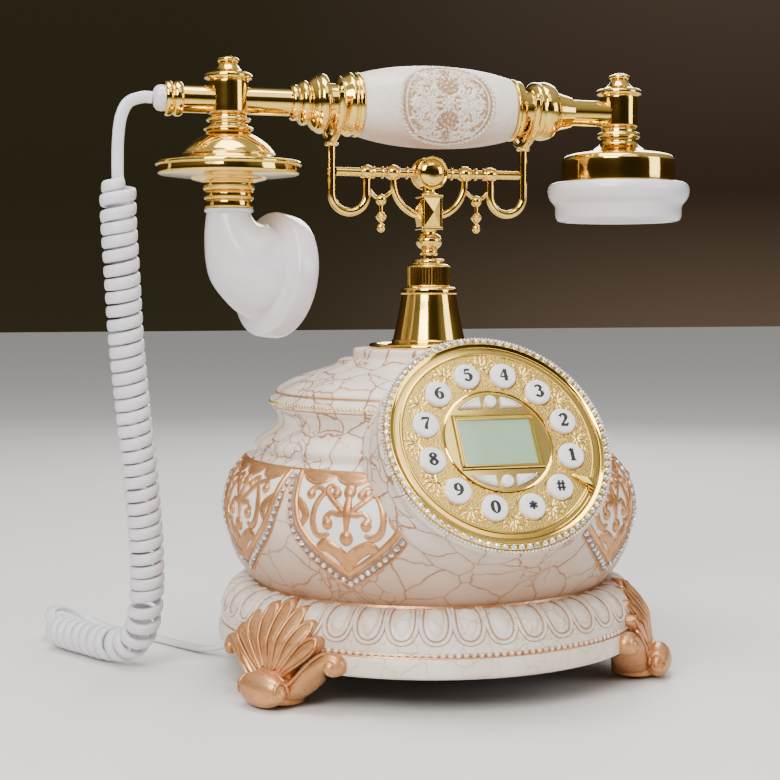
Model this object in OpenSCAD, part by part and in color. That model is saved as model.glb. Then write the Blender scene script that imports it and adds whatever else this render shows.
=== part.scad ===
// Ornate push-button telephone: resin body on shell feet, sprung cradle on a column,
// and a lift-off handset with a curly cord. All sizes are millimetres.

/* [Plinth] */
// Widest radius of the plinth
plinth_r = 97; // [92:0.5:104]
// Height of the plinth's underside above the table
plinth_lift = 16; // [13:0.5:20]
// Height of the plinth, from its underside to the seam with the body
plinth_h = 26.5; // [22:0.5:32]
// Radius where plinth and body meet
seam_r = 79.3; // [74:0.5:84]
// Thickness of the bottom plate
bottom_plate_t = 2; // [1.5:0.25:3]
// How far the bottom plate lies above the plinth's underside
bottom_plate_inset = 2; // [1:0.25:4]
// Width of the plinth's rim around the bottom plate
plate_rim = 9; // [8:0.5:12]

/* [Feet] */
// Distance of each toe's middle from the upright axis
toe_reach = 105.5; // [102:0.5:112]
// Half width of the toe
toe_half_w = 13; // [10:0.5:15]
// Height of the shell's hinge above the table
shell_hinge_z = 10; // [8:0.5:12]
// Length of the shell's ribs
shell_span = 37; // [30:0.5:38]
// Number of ribs on each shell
rib_count = 7; // [5:2:9]
// Angle between neighbouring ribs
rib_step = 21; // [14:1:22]
// Radius of a rib at its tip
rib_tip_r = 4.6; // [3:0.2:6]
// Radius of the rubber pad under each foot
pad_r = 5; // [3.5:0.25:6]
// How far each pad stands proud of its foot
pad_proud = 0.6; // [0.3:0.1:1.5]

/* [Body] */
// Widest radius of the body's bulge
bulge_r = 93.8; // [89:0.5:97]
// Height of the widest point above the seam
bulge_rise = 33; // [28:0.5:38]
// Radius at the bulge's shoulder
shoulder_r = 83.9; // [81:0.5:87]
// Height of the shoulder above the widest point
shoulder_rise = 23; // [19:0.5:27]
// Radius of the collar above the bulge
collar_r = 79.8; // [76:0.5:81]
// Height of the collar's widest point above the shoulder
collar_rise = 5.8; // [4.5:0.1:8]
// Radius of the waist between collar and cornice
waist_r = 69.2; // [66:0.5:71]
// Height of the waist above the collar
waist_rise = 10; // [9:0.5:13]
// Radius of the cornice
cornice_r = 72.8; // [72:0.2:75]
// Height of the cornice above the waist
cornice_rise = 8.2; // [7:0.2:10]
// Radius of the step on which the column stands
crown_r = 34.8; // [31:0.2:38]
// Height of the step's foot above the cornice
crown_rise = 20.7; // [18:0.2:23]
// Height of the step
crown_step = 4.5; // [3:0.25:6]
// Wall thickness of the resin body
body_wall = 3.5; // [2.5:0.25:4.5]

/* [Dial] */
// Distance of the dial plate's middle in front of the upright axis
dial_out = 87; // [84:0.5:90]
// Height of the dial plate's middle above the table
dial_z = 112.3; // [110:0.5:115]
// Lean of the dial back from upright, in degrees
dial_tilt = 32.8; // [30:0.2:36]
// Radius of the dial plate
dial_r = 44; // [43:0.25:46]
// Thickness of the dial plate
dial_t = 1.2; // [0.8:0.1:1.8]
// Width of the beaded trim around the plate
trim_w = 3.8; // [3:0.2:5]
// Height of the trim above its seat
trim_h = 2.2; // [1.6:0.1:3]
// Radius of the circle on which the number keys stand
key_ring_r = 31.2; // [30:0.1:32]
// Radius of a number key
key_r = 5.6; // [5:0.1:6]
// How far the keys stand proud of the plate
key_rise = 2.4; // [2:0.1:3]
// Travel of a key
key_travel = 1.5; // [1:0.1:2]
// Clearance around each key in its hole
key_gap = 0.3; // [0.2:0.05:0.4]
// Height of the function keys' row above the dial's middle
fn_row = 18.3; // [18:0.1:18.6]
// Radius of the round function keys
fn_r = 2.6; // [2.2:0.1:2.8]
// Radius of the arc that bounds the side function keys
fn_arc_r = 21; // [20.5:0.1:21.3]
// Thickness of the rubber keypad
membrane_t = 1.4; // [1:0.1:2]
// Thickness of the circuit boards
board_t = 1.6; // [1:0.1:2]

/* [Screen] */
// Width of the screen's window
screen_w = 31.6; // [29:0.2:32]
// Height of the screen's window
screen_h = 20.6; // [18:0.2:21]
// Width of the bezel around the window
bezel_w = 2.2; // [1.6:0.1:2.6]
// Height of the bezel above the plate
bezel_h = 1.2; // [0.8:0.1:2]

/* [Column] */
// Radius of the dished disc under the column
disc_r = 27.4; // [24:0.2:30]
// Thickness of the disc
disc_t = 2; // [1.5:0.1:3]
// Radius of the column at its foot
cone_foot_r = 17.2; // [15:0.2:20]
// Radius of the column at its top
cone_top_r = 12.8; // [11.6:0.2:14]
// Height of the column
cone_h = 25.8; // [20:0.2:32]
// Radius of the fluted collar
knurl_r = 9.8; // [8.8:0.2:11]
// Height of the fluted collar
knurl_h = 10.5; // [8:0.25:14]
// Number of flutes
flute_count = 40; // [24:2:60]
// Radius of the cap on the collar
cap_r = 7.4; // [6:0.2:8.4]
// Height of the cap
cap_h = 2.3; // [1.5:0.1:3.5]
// Radius of the sliding stem
stem_r = 3.2; // [2.8:0.1:3.6]
// Running clearance of the stem in the column
stem_gap = 0.06; // [0.03:0.01:0.09]
// Rise of the cradle when the handset is lifted
hook_travel = 3; // [2:0.25:4]

/* [Cradle] */
// Distance between the two forks
fork_span = 92.4; // [84:0.2:100]
// Height of the bar above the top of the stem's block
bar_rise = 9.9; // [9:0.1:12]
// Radius of the cradle's rods
rod_r = 1.9; // [1.6:0.1:2.2]
// Width of the studded block
block_w = 11.6; // [10:0.2:14]
// Height of the studded block
block_h = 15.7; // [13:0.2:19]
// Radius of the round boss on the bar
boss_r = 7.3; // [6:0.1:8]
// Half depth of the boss, front to back
boss_half_d = 7.5; // [6:0.25:9]
// Radius of the hook's bend, on the rod's centre line
hook_r = 8.2; // [7:0.1:9.5]
// Length of the hook's straight legs below the bar
hook_leg = 9.9; // [7:0.1:13]
// Radius of the fork's U, on its centre line
yoke_r = 18.3; // [17.6:0.1:20]
// Radius of the fork's rod
yoke_rod_r = 1.6; // [1.3:0.1:1.8]

/* [Handset] */
// Height of the handset's axis above the bar
handset_rise = 29.8; // [28:0.1:33]
// Distance between the mouth post and the ear post
tee_span = 188; // [178:0.5:200]
// How far the handset's middle lies to the ear side
handset_shift = 1; // [0:0.1:2]
// Outer radius of the handset's tube
tube_r = 6; // [5:0.1:6.6]
// Wall of the handset's tube
tube_wall = 1; // [0.6:0.1:1.5]
// Length of the tube beyond the mouth post
tube_over = 20.5; // [16:0.5:26]
// Length of the grip
grip_len = 72.5; // [66:0.5:78]
// Middle of the grip, to the ear side of the upright axis
grip_x = 2.4; // [0:0.1:4]
// Radius of the grip at its middle
grip_mid_r = 18.9; // [17:0.1:21]
// Radius of the grip at its ends
grip_end_r = 15; // [14.8:0.1:16]
// Radius of the groove that rests in a fork
groove_r = 9.2; // [8.4:0.1:10]
// Width of the groove
groove_w = 3.8; // [3.6:0.1:4.4]
// Radius of the two posts
post_r = 8.9; // [8.2:0.1:10]

/* [Mouthpiece and earpiece] */
// Radius of the mouthpiece's dish
dish_r = 32.3; // [28:0.2:36]
// Radius of the horn where it leaves the dish
horn_neck_r = 10; // [8.5:0.1:11.5]
// Radius of the horn's lip
horn_lip_r = 28; // [25:0.2:31]
// Depth of the horn's lip
horn_lip_d = 11; // [10:0.25:14]
// Wall of the horn
horn_wall = 2; // [1.4:0.1:2.6]
// Turn of the horn about its post, away from the handset's line
horn_turn = 18; // [10:1:26]
// Radius of the ear bell
bell_r = 30; // [27:0.2:32]
// Radius of the ear cap's lip
ear_lip_r = 37; // [34:0.2:40]
// Radius of the ear cap's band
ear_band_r = 33; // [31:0.2:33.6]

/* [Cord] */
// Width of the flat cord
cord_w = 4.4; // [4:0.1:4.8]
// Thickness of the flat cord
cord_t = 3; // [2.6:0.1:3.2]
// Outer radius of the curls
curl_r = 8; // [7.4:0.1:8.2]
// Distance between curls where the cord hangs
hang_pitch = 5.9; // [5.8:0.1:7]
// Distance between curls around the bend onto the table
bend_pitch = 7.6; // [7.4:0.1:9]
// Distance between curls where the cord lies
lying_pitch = 6.1; // [5.8:0.1:7]

/* [Hidden] */
$fn = 64;
KEY_NAMES = ["1", "2", "3", "4", "5", "6", "7", "8", "9", "0", "star", "hash"];
FN_NAMES = ["upper_left", "upper_mid", "upper_right", "lower_left", "lower_mid", "lower_right"];

// The upright axis stands this far from the middle of the whole object
axis_x = -3.5;
fit_gap = 0.1;
seat_gap = 0.3;

ivory = "linen";
gold = "goldenrod";
bronze = "peru";
steel = "silver";
white = "white";
board_green = "seagreen";

// Heights, built up from the table
plinth_top = plinth_lift + plinth_h;
bulge_z = plinth_top + bulge_rise;
shoulder_z = bulge_z + shoulder_rise;
collar_z = shoulder_z + collar_rise;
waist_z = collar_z + waist_rise;
cornice_z = waist_z + cornice_rise;
cornice_band = 2.5;
roof_z = cornice_z + 8;
crown_foot_z = cornice_z + crown_rise;
crown_z = crown_foot_z + crown_step;
disc_top = crown_z + disc_t;
cone_top = disc_top + cone_h;
knurl_top = cone_top + knurl_h;
cap_top = knurl_top + cap_h;
stem_show = 13.3;
block_z = cap_top + stem_show;
block_top = block_z + block_h;
bar_z = block_top + bar_rise;
handset_z = bar_z + handset_rise;
fork_x = fork_span / 2;
bottom_plate_r = plinth_r - plate_rim;
plate_z = plinth_lift + bottom_plate_inset;
plate_top = plate_z + bottom_plate_t;

module at_axis() translate([axis_x, 0, 0]) children();
module turned(angles) for (a = angles) rotate([0, 0, a]) children();
module ring_of(outline) rotate_extrude() polygon(outline);

// Faces of a skin over equal rings of points; the ends are capped, or joined in a loop
function skin_faces(rings, sides, looped) = [
  for (i = [0:rings - (looped ? 1 : 2)], k = [0:sides - 1])
    let (j = (i + 1) % rings, m = (k + 1) % sides)
    each [[i * sides + k, i * sides + m, j * sides + m],
          [i * sides + k, j * sides + m, j * sides + k]]];
module tube(rings) {
  sides = len(rings[0]);
  last = (len(rings) - 1) * sides;
  polyhedron(points = [for (r = rings, p = r) p], faces = concat(
    skin_faces(len(rings), sides, false),
    [[for (k = [sides - 1:-1:0]) k], [for (k = [0:sides - 1]) last + k]]));
}
module closed_loop(rings) polyhedron(points = [for (r = rings, p = r) p],
  faces = skin_faces(len(rings), len(rings[0]), true));

// Outlines are [radius, height] pairs
function lifted(points, z) = [for (p = points) [p[0], p[1] + z]];
function grown(points, g) = [for (p = points) [p[0] + g, p[1]]];

// ---- plinth, feet and bottom plate ----
band_r = plinth_r - 1.6;
plinth_side = concat(
  [[plinth_r - 3.5, plinth_lift],
   [plinth_r - 1, plinth_lift + 0.8],
   [plinth_r, plinth_lift + 3.5],
   [plinth_r - 0.4, plinth_lift + 6.5],
   [band_r, plinth_lift + 7.8],
   [band_r, plinth_lift + 10]],
  [for (t = [15:15:75])
    [seam_r + (band_r - seam_r) * pow(cos(t), 0.8),
     plinth_lift + 11 + (plinth_h - 11) * sin(t)]],
  [[seam_r, plinth_top]]);
ledge_r = bottom_plate_r - 6;
screw_ring_r = bottom_plate_r - 2.8;
screw_r = 1.5;
screw_angles = [45:60:345];

module plinth() color(ivory) at_axis() difference() {
  ring_of(concat(plinth_side,
    [[seam_r - 1.2 * body_wall, plinth_top],
     [seam_r - 1.2 * body_wall, plinth_top - 3],
     [ledge_r, plinth_top - 10],
     [ledge_r, plate_top],
     [bottom_plate_r + seat_gap, plate_top],
     [bottom_plate_r + seat_gap, plinth_lift]]));
  turned(screw_angles) translate([0, -screw_ring_r, plate_top - 1])
    cylinder(r = screw_r + fit_gap / 2, h = 9);
}

standoff_h = 6;
standoff_x = 46;
standoff_y = [-42, 10];
module bottom_plate() color(steel) at_axis() difference() {
  union() {
    translate([0, 0, plate_z]) cylinder(r = bottom_plate_r, h = bottom_plate_t);
    for (x = [-standoff_x, standoff_x], y = standoff_y)
      translate([x, y, plate_top]) cylinder(r = 3, h = standoff_h);
  }
  turned(screw_angles) translate([0, -screw_ring_r, plate_z - 1])
    cylinder(r = screw_r + 0.2, h = bottom_plate_t + 2);
}

screw_head_r = 2.7;
screw_head_h = 1.6;
module plate_screws() color(steel) at_axis()
  turned(screw_angles) translate([0, -screw_ring_r, plate_z]) {
    translate([0, 0, -screw_head_h]) cylinder(r = screw_head_r, h = screw_head_h);
    cylinder(r = screw_r, h = bottom_plate_t + 7.5);
  }

foot_angles = [60, 180, 300];
foot_block_r = 84;
foot_block_w = 20;
volute_r = 4.4;
volute_at = [31.5, 9.5];
pad_t = 2;
pad_ring_r = 94.5;
// The shell's front stands this far outside the plinth at each height
shell_front = [
  [plinth_r + 4.8, shell_hinge_z - 2],
  [plinth_r + 5.4, shell_hinge_z + 8],
  [plinth_r + 4.4, shell_hinge_z + 18],
  [plinth_r + 1.2, shell_hinge_z + 23],
  [plinth_r - 5, shell_hinge_z + 30],
  [plinth_r - 9.5, shell_hinge_z + 36.5],
  [plinth_r - 9.4, shell_hinge_z + 41]];

module rib(angle, tip_r) {
  root_w = 3;
  reach = shell_span - tip_r;
  rotate(angle) polygon([[-root_w / 2, 0], [root_w / 2, 0],
    [tip_r * 0.94, reach], [-tip_r * 0.94, reach]]);
  rotate(angle) translate([0, reach]) circle(r = tip_r);
}

// The scalloped outline of one shell, hinge at the origin
module shell_outline() {
  half = (rib_count - 1) / 2;
  for (i = [-half:half]) rib(i * rib_step, rib_tip_r * (1 - 0.03 * abs(i)));
  circle(r = 9);
  for (side = [-1, 1]) {
    translate([side * volute_at[0], volute_at[1]]) circle(r = volute_r);
    polygon([[side * 5, -5], [side * volute_at[0], volute_at[1] - volute_r],
      [side * volute_at[0], volute_at[1] + volute_r], [side * 5, 6]]);
  }
}

module foot() {
  toe_h = 7.6;
  toe_d = 6.1;
  difference() {
    union() {
      translate([0, -toe_reach, pad_proud + toe_h]) scale([toe_half_w, toe_d, toe_h]) sphere(r = 1);
      translate([0, -pad_ring_r, pad_proud]) cylinder(r = foot_block_w / 2, h = plinth_lift - pad_proud);
      translate([0, -plinth_r / 2, shell_hinge_z]) rotate([90, 0, 0])
        linear_extrude(height = plinth_r) shell_outline();
    }
    translate([0, -pad_ring_r, 0]) cylinder(r = pad_r + fit_gap / 2, h = pad_t);
  }
}

// Everything nearer the axis than the plinth and body, or farther than the shell's front
module foot_envelope() ring_of(concat(
  [[foot_block_r, 0], [toe_reach + 7, 0], [toe_reach + 7, plinth_lift], [plinth_r + 5.2, plinth_lift]],
  [for (p = shell_front) if (p[1] > plinth_lift) p],
  grown([for (i = [2:-1:0]) lower_side[i]], fit_gap),
  [for (i = [len(plinth_side) - 2:-1:0]) plinth_side[i] + [fit_gap, 0]],
  [[foot_block_r, plinth_lift]]));

module feet() color(bronze) at_axis() intersection() {
  turned(foot_angles) foot();
  foot_envelope();
}

module foot_pads() color("dimgray") at_axis()
  turned(foot_angles) translate([0, -pad_ring_r, 0]) cylinder(r = pad_r, h = pad_t);

// ---- body shell with its dial housing ----
bulge_in = (bulge_r - seam_r) / (1 - cos(60));
bulge_drop = bulge_rise / sin(60);
upper_in = (bulge_r - shoulder_r) / (1 - cos(50));
upper_lift = shoulder_rise / sin(50);
lower_side = [for (t = [60:-10:0])
  [bulge_r - bulge_in * (1 - cos(t)), bulge_z - bulge_drop * sin(t)]];
upper_side = [for (t = [10:10:50])
  [bulge_r - upper_in * (1 - cos(t)), bulge_z + upper_lift * sin(t)]];
roof_r = cornice_r - 4.3;
roof_rise = crown_foot_z - roof_z;
body_side = concat(lower_side, upper_side,
  [[collar_r - 0.8, shoulder_z + 2.1],
   [collar_r, collar_z],
   [collar_r - 2.8, collar_z + 0.41 * waist_rise],
   [waist_r + 2.3, collar_z + 0.82 * waist_rise],
   [waist_r, waist_z],
   [waist_r + 0.9, waist_z + 0.45 * cornice_rise],
   [cornice_r, cornice_z],
   [cornice_r, cornice_z + cornice_band],
   [cornice_r - 2.3, cornice_z + 5],
   [roof_r, roof_z],
   [crown_r + 0.81 * (roof_r - crown_r), roof_z + 0.27 * roof_rise],
   [crown_r + 0.57 * (roof_r - crown_r), roof_z + 0.48 * roof_rise],
   [crown_r + 0.27 * (roof_r - crown_r), roof_z + 0.75 * roof_rise],
   [crown_r, crown_foot_z],
   [crown_r, crown_z - 1.2],
   [crown_r - 1.2, crown_z]]);
skin = 1.2 * body_wall;
crown_inside_z = crown_z - body_wall;
body_cavity = concat([[0, plinth_top - 1], [seam_r - skin, plinth_top - 1]],
  grown(lower_side, -skin), grown(upper_side, -skin),
  [[waist_r - body_wall, collar_z],
   [waist_r - body_wall, cornice_z + 1],
   [roof_r - body_wall, roof_z - body_wall],
   [crown_r + 0.27 * (roof_r - crown_r), roof_z + 0.75 * roof_rise - skin],
   [crown_r - body_wall, crown_foot_z - 1],
   [crown_r - body_wall, crown_inside_z],
   [0, crown_inside_z]]);

// The dial's own frame: X to the right, Y up the plate, Z out of its face
module dial_frame(out = 0) translate([0, -dial_out, dial_z])
  rotate([90 - dial_tilt, 0, 0]) translate([0, 0, out]) children();
module on_dial(out = 0) at_axis() dial_frame(out) children();

trim_r = dial_r + 0.2;
housing_r = trim_r + trim_w + 1.5;
housing_seat = dial_t;
key_flange_t = 1;
key_under = dial_t + 0.2;
shank_l = 1;
membrane_top = key_under + key_flange_t + shank_l + key_travel + 0.2;
board_top = membrane_top + membrane_t;
ledge_z = board_top + board_t;
board_r = dial_r - 1.7;
housing_deep = 60;
stem_hole_r = stem_r + 0.8;

module body_shell() color(ivory) at_axis() difference() {
  union() {
    ring_of(concat([[0, plinth_top]], body_side, [[0, crown_z]]));
    dial_frame() ring_of(
      [[0, -40], [housing_r + 2, -40], [housing_r, -housing_seat], [0, -housing_seat]]);
  }
  ring_of(body_cavity);
  dial_frame() ring_of(
    [[0, -housing_deep],
     [dial_r + 2.5, -housing_deep],
     [dial_r + 2.5, -ledge_z - 2.5],
     [dial_r - 4.5, -ledge_z - 2.5],
     [dial_r - 4.5, -ledge_z],
     [dial_r - 1.5, -ledge_z],
     [dial_r - 1.5, 1],
     [0, 1]]);
  cylinder(r = stem_hole_r, h = crown_z + 1);
}

// ---- dial ----
screen_outer_w = screen_w + 2 * bezel_w;
screen_outer_h = screen_h + 2 * bezel_w;
module_w = screen_w + 4.4;
module_h = screen_h + 3.4;
glass_t = 1;
key_ring_step = 30;
fn_split = 4.4;
fn_end = 14.9;
fn_low = fn_row - 2.9;
flange_w = 0.9;
fn_flange_w = 0.6;

module centred_box(size) translate([-size[0] / 2, -size[1] / 2, 0]) cube(size);

// Outline of function key i: the middle ones round, the side ones cut from a circle
module fn_outline(i, grow = 0) {
  column = i % 3 - 1;
  up = i < 3 ? 1 : -1;
  if (column == 0)
    translate([0, up * fn_row]) circle(r = fn_r + grow);
  else
    intersection() {
      circle(r = fn_arc_r + grow);
      translate([column > 0 ? fn_split - grow : -fn_end - grow,
                 up > 0 ? fn_low - grow : -fn_low - 8])
        square([fn_end - fn_split + 2 * grow, 8 + grow]);
    }
}

function key_angle(i) = -15 + key_ring_step * i;

module dial_plate() color("palegoldenrod") on_dial(-dial_t) difference() {
  cylinder(r = dial_r, h = dial_t);
  translate([0, 0, -1]) {
    for (i = [0:len(KEY_NAMES) - 1]) rotate([0, 0, key_angle(i)])
      translate([key_ring_r, 0, 0]) cylinder(r = key_r + key_gap, h = dial_t + 2);
    for (i = [0:len(FN_NAMES) - 1])
      linear_extrude(height = dial_t + 2) fn_outline(i, key_gap);
    centred_box([screen_w, screen_h, dial_t + 2]);
  }
}

module dial_trim() color(gold) on_dial(-dial_t) ring_of(
  [[trim_r, 0],
   [trim_r + trim_w, 0],
   [trim_r + trim_w, trim_h * 0.6],
   [trim_r + trim_w - 0.6, trim_h],
   [trim_r + 0.6, trim_h],
   [trim_r, trim_h * 0.7]]);

module number_key(i) color(white) on_dial() rotate([0, 0, key_angle(i)])
  translate([key_ring_r, 0, 0]) ring_of(
    [[0, -key_under - key_flange_t - shank_l],
     [key_r / 2, -key_under - key_flange_t - shank_l],
     [key_r / 2, -key_under - key_flange_t],
     [key_r + flange_w, -key_under - key_flange_t],
     [key_r + flange_w, -key_under],
     [key_r, -key_under],
     [key_r, key_rise - 0.5],
     [key_r - 0.5, key_rise],
     [0, key_rise]]);

module function_key(i) color(white) on_dial() {
  translate([0, 0, -key_under - key_flange_t])
    linear_extrude(height = key_flange_t) fn_outline(i, fn_flange_w);
  translate([0, 0, -key_under])
    linear_extrude(height = key_under + key_rise - 0.6) fn_outline(i);
}

module screen_bezel() color(gold) on_dial() difference() {
  centred_box([screen_outer_w, screen_outer_h, bezel_h]);
  translate([0, 0, -1]) centred_box([screen_w, screen_h, bezel_h + 2]);
}

module screen_glass() color("darkseagreen") on_dial(-key_under)
  centred_box([screen_w - fit_gap, screen_h - fit_gap, glass_t]);

module screen_module() color("dimgray") on_dial(-board_top)
  centred_box([module_w, module_h, board_top - key_under]);

// A comma-shaped stop between the last key and the first
module finger_stop() color(gold) on_dial() rotate([0, 0, -30]) {
  stop_r = 2.5;
  stop_out = dial_r - 1.4 - stop_r;
  linear_extrude(height = 2.4) {
    translate([stop_out, 0]) circle(r = stop_r);
    polygon([[key_ring_r + 1, -0.5], [stop_out, -stop_r], [stop_out, stop_r], [key_ring_r + 1, 0.5]]);
  }
}

module keypad_membrane() color("lightgray") on_dial(-board_top) difference() {
  cylinder(r = board_r - 0.8, h = membrane_t);
  translate([0, 0, -1]) centred_box([module_w + 0.8, module_h + 0.8, membrane_t + 2]);
}

module keypad_board() color(board_green) on_dial(-ledge_z) cylinder(r = board_r, h = board_t);

// ---- inside ----
main_board_z = plate_top + standoff_h;
main_board_w = 2 * standoff_x + 12;
main_board_l = standoff_y[1] - standoff_y[0] + 12;
chip_w = 24;
coil_w = 16;
coil_l = 30;
module main_board() color(board_green) at_axis() {
  translate([-main_board_w / 2, standoff_y[0] - 6, main_board_z])
    cube([main_board_w, main_board_l, board_t]);
  translate([-1.25 * chip_w, -1.5 * chip_w, main_board_z + board_t]) cube([chip_w, chip_w, 3]);
  translate([coil_w / 2, -coil_l - 10, main_board_z + board_t]) cube([coil_w, coil_l, 12]);
}

ringer_y = 46;
ringer_r = 22;
module ringer() color("dimgray") at_axis() translate([0, ringer_y, plate_top]) ring_of(
  [[0, 0], [ringer_r, 0], [ringer_r, 5], [ringer_r - 2, 7], [ringer_r - 6, 14], [9, 14], [9, 19], [0, 19]]);

switch_base_z = crown_inside_z - 40;
switch_base_t = 6;
spring_foot_z = switch_base_z + switch_base_t;
stem_foot_z = spring_foot_z + 10;
spring_r = 4.5;
spring_wire = 1.2;

// A frame under the crown that carries the spring and the switch
module hook_switch() color("dimgray") at_axis() {
  difference() {
    translate([-13, -8, switch_base_z]) cube([26, 16, crown_inside_z - switch_base_z]);
    translate([-10, -9, spring_foot_z]) cube([20, 18, crown_inside_z]);
  }
  translate([13, -6, spring_foot_z]) cube([7, 12, 16]);
}

// A helix of wire, ground flat where its ends seat
spring_turns = 4;
spring_sides = 8;
spring_steps = spring_turns * 16;
spring_rise = stem_foot_z - spring_foot_z - spring_wire - 0.1;
module hook_spring() color(steel) at_axis() {
  rings = [for (i = [0:spring_steps]) let (a = 360 * spring_turns * i / spring_steps)
    [for (s = [0:spring_sides - 1]) let (b = 360 * s / spring_sides,
      r = spring_r + spring_wire / 2 * cos(b))
      [r * cos(a), r * sin(a),
       spring_foot_z + 0.05 + spring_wire / 2 * (1 + sin(b)) + spring_rise * i / spring_steps]]];
  tube(rings);
}

// ---- column ----
bore_r = stem_r + stem_gap;
module column_disc() color(gold) at_axis() ring_of(lifted(
  [[stem_hole_r, 0], [disc_r, 0], [disc_r, disc_t - 0.6], [disc_r - 0.7, disc_t],
   [disc_r - 2.2, disc_t], [disc_r - 3.6, disc_t - 0.8],
   [cone_foot_r + 2.6, disc_t - 0.8], [cone_foot_r + 1.4, disc_t], [stem_hole_r, disc_t]], crown_z));

module column_cone() color(gold) at_axis() ring_of(lifted(
  [[stem_hole_r, 0], [cone_foot_r, 0], [cone_foot_r, 1.4], [cone_foot_r - 0.6, 2.2],
   [cone_top_r - 0.4, cone_h - 3.2], [cone_top_r, cone_h - 2.8], [cone_top_r, cone_h - 1.2],
   [cone_top_r - 1.2, cone_h], [stem_hole_r, cone_h]], disc_top));

// The fluted collar, with the plain cap turned on its top
module column_collar() color(gold) at_axis() difference() {
  union() {
    translate([0, 0, cone_top]) linear_extrude(height = knurl_h - 1.2) polygon(
      [for (i = [0:2 * flute_count - 1]) let (a = 180 * i / flute_count)
        (knurl_r - (i % 2) * 0.6) * [cos(a), sin(a)]]);
    ring_of([[0, knurl_top - 2], [knurl_r - 1, knurl_top - 2], [knurl_r - 1, knurl_top - 0.8],
      [knurl_r - 1.6, knurl_top], [cap_r, knurl_top], [cap_r, cap_top - 1], [cap_r - 1.2, cap_top],
      [0, cap_top]]);
  }
  translate([0, 0, cone_top - 1]) cylinder(r = bore_r, h = knurl_h + cap_h + 2);
}

// ---- cradle ----
stem_pin_r = 2;
stem_flange_r = 6.5;
module hook_stem() color(gold) at_axis() ring_of(
  [[0, stem_foot_z - 5.5],
   [stem_pin_r, stem_foot_z - 5.5],
   [stem_pin_r, stem_foot_z],
   [stem_flange_r, stem_foot_z],
   [stem_flange_r, stem_foot_z + 2],
   [stem_r, stem_foot_z + 2],
   [stem_r, cap_top + 1.8],
   [stem_r + 0.6, cap_top + 2.4],
   [stem_r + 0.6, cap_top + 4.4],
   [stem_r + 0.2, cap_top + 5],
   [stem_r + 2.2, cap_top + 6.4],
   [stem_r + 2.9, cap_top + 8.4],
   [stem_r + 2.2, cap_top + 10.2],
   [stem_r + 0.2, cap_top + 11.4],
   [stem_r + 0.2, block_z],
   [0, block_z]]);

module cradle_block() color(gold) at_axis() {
  lip = 1;
  translate([0, 0, block_z]) centred_box([block_w - lip, block_w - lip, block_h]);
  translate([0, 0, block_z + lip]) centred_box([block_w, block_w, block_h - 2 * lip]);
}

knob_x = [17.3, 29.8];
knob_r = [3.6, 3.3];
ring_x = [10.8, 22.5, 26.6];
brace_r = 1.6;
brace_bend_r = 16.7;

module cradle_bar() color(gold) at_axis() {
  bar_end = fork_x - rod_r - 0.05;
  translate([-bar_end, 0, bar_z]) rotate([0, 90, 0]) cylinder(r = rod_r, h = 2 * bar_end);
  translate([0, 0, bar_z]) rotate([90, 0, 0]) ring_of(
    [[0, -boss_half_d - 1.6], [2.4, -boss_half_d - 1.3], [boss_r - 1, -boss_half_d], [boss_r, -boss_half_d + 1],
     [boss_r, boss_half_d - 1], [boss_r - 1, boss_half_d], [2.4, boss_half_d + 1.3], [0, boss_half_d + 1.6]]);
  translate([0, 0, block_top]) cylinder(r = 2.9, h = bar_rise);
  for (side = [-1, 1]) {
    for (i = [0:len(knob_x) - 1]) translate([side * knob_x[i], 0, bar_z]) sphere(r = knob_r[i]);
    for (x = ring_x) translate([side * x - 0.6, 0, bar_z])
      rotate([0, 90, 0]) cylinder(r = rod_r + 0.9, h = 1.2);
  }
  brace();
  mirror([1, 0, 0]) brace();
}

// A curved strut from the inner knob down to the side of the block
module brace() difference() {
  translate([knob_x[0] - brace_bend_r, 0, bar_z - knob_r[0] + 1]) rotate([90, 0, 0])
    rotate([0, 0, -80]) rotate_extrude(angle = 80)
      translate([brace_bend_r, 0]) circle(r = brace_r);
  translate([0, 0, block_z - 10]) centred_box([block_w + 2 * fit_gap, block_w, block_h + 10]);
}

// One cast hook with its post and fork, on the ear side
module fork() {
  hook_z = bar_z - hook_leg;
  inner_x = fork_x - 2 * hook_r;
  yoke_z = handset_z + 2;
  yoke_foot = yoke_z - yoke_r;
  translate([inner_x, 0, hook_z]) cylinder(r = rod_r, h = hook_leg - knob_r[1] - 0.1);
  translate([fork_x, 0, hook_z]) cylinder(r = rod_r, h = yoke_foot - hook_z);
  translate([fork_x - hook_r, 0, hook_z]) rotate([90, 0, 0]) rotate([0, 0, 180])
    rotate_extrude(angle = 180) translate([hook_r, 0]) circle(r = rod_r);
  translate([fork_x, 0, yoke_z]) rotate([90, 0, 90]) rotate([0, 0, 180])
    rotate_extrude(angle = 180) translate([yoke_r, 0]) circle(r = yoke_rod_r);
  for (y = [-yoke_r, yoke_r]) translate([fork_x, y, yoke_z]) {
    cylinder(r = yoke_rod_r, h = 2);
    translate([0, 0, 2]) sphere(r = yoke_rod_r + 0.3);
  }
  translate([fork_x - 1.1, 0, 0]) saddle(yoke_foot, 2.2);
}

// The web in the fork's foot, hollowed to seat the handset's groove
module saddle(foot_z, thick) {
  seat_r = groove_r + seat_gap;
  difference() {
    translate([0, -8, foot_z]) cube([thick, 16, handset_z - 5.5 - foot_z]);
    translate([-1, 0, handset_z]) rotate([0, 90, 0]) cylinder(r = seat_r, h = thick + 2);
  }
}

module cradle_forks() color(gold) at_axis() {
  fork();
  mirror([1, 0, 0]) fork();
}

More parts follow.
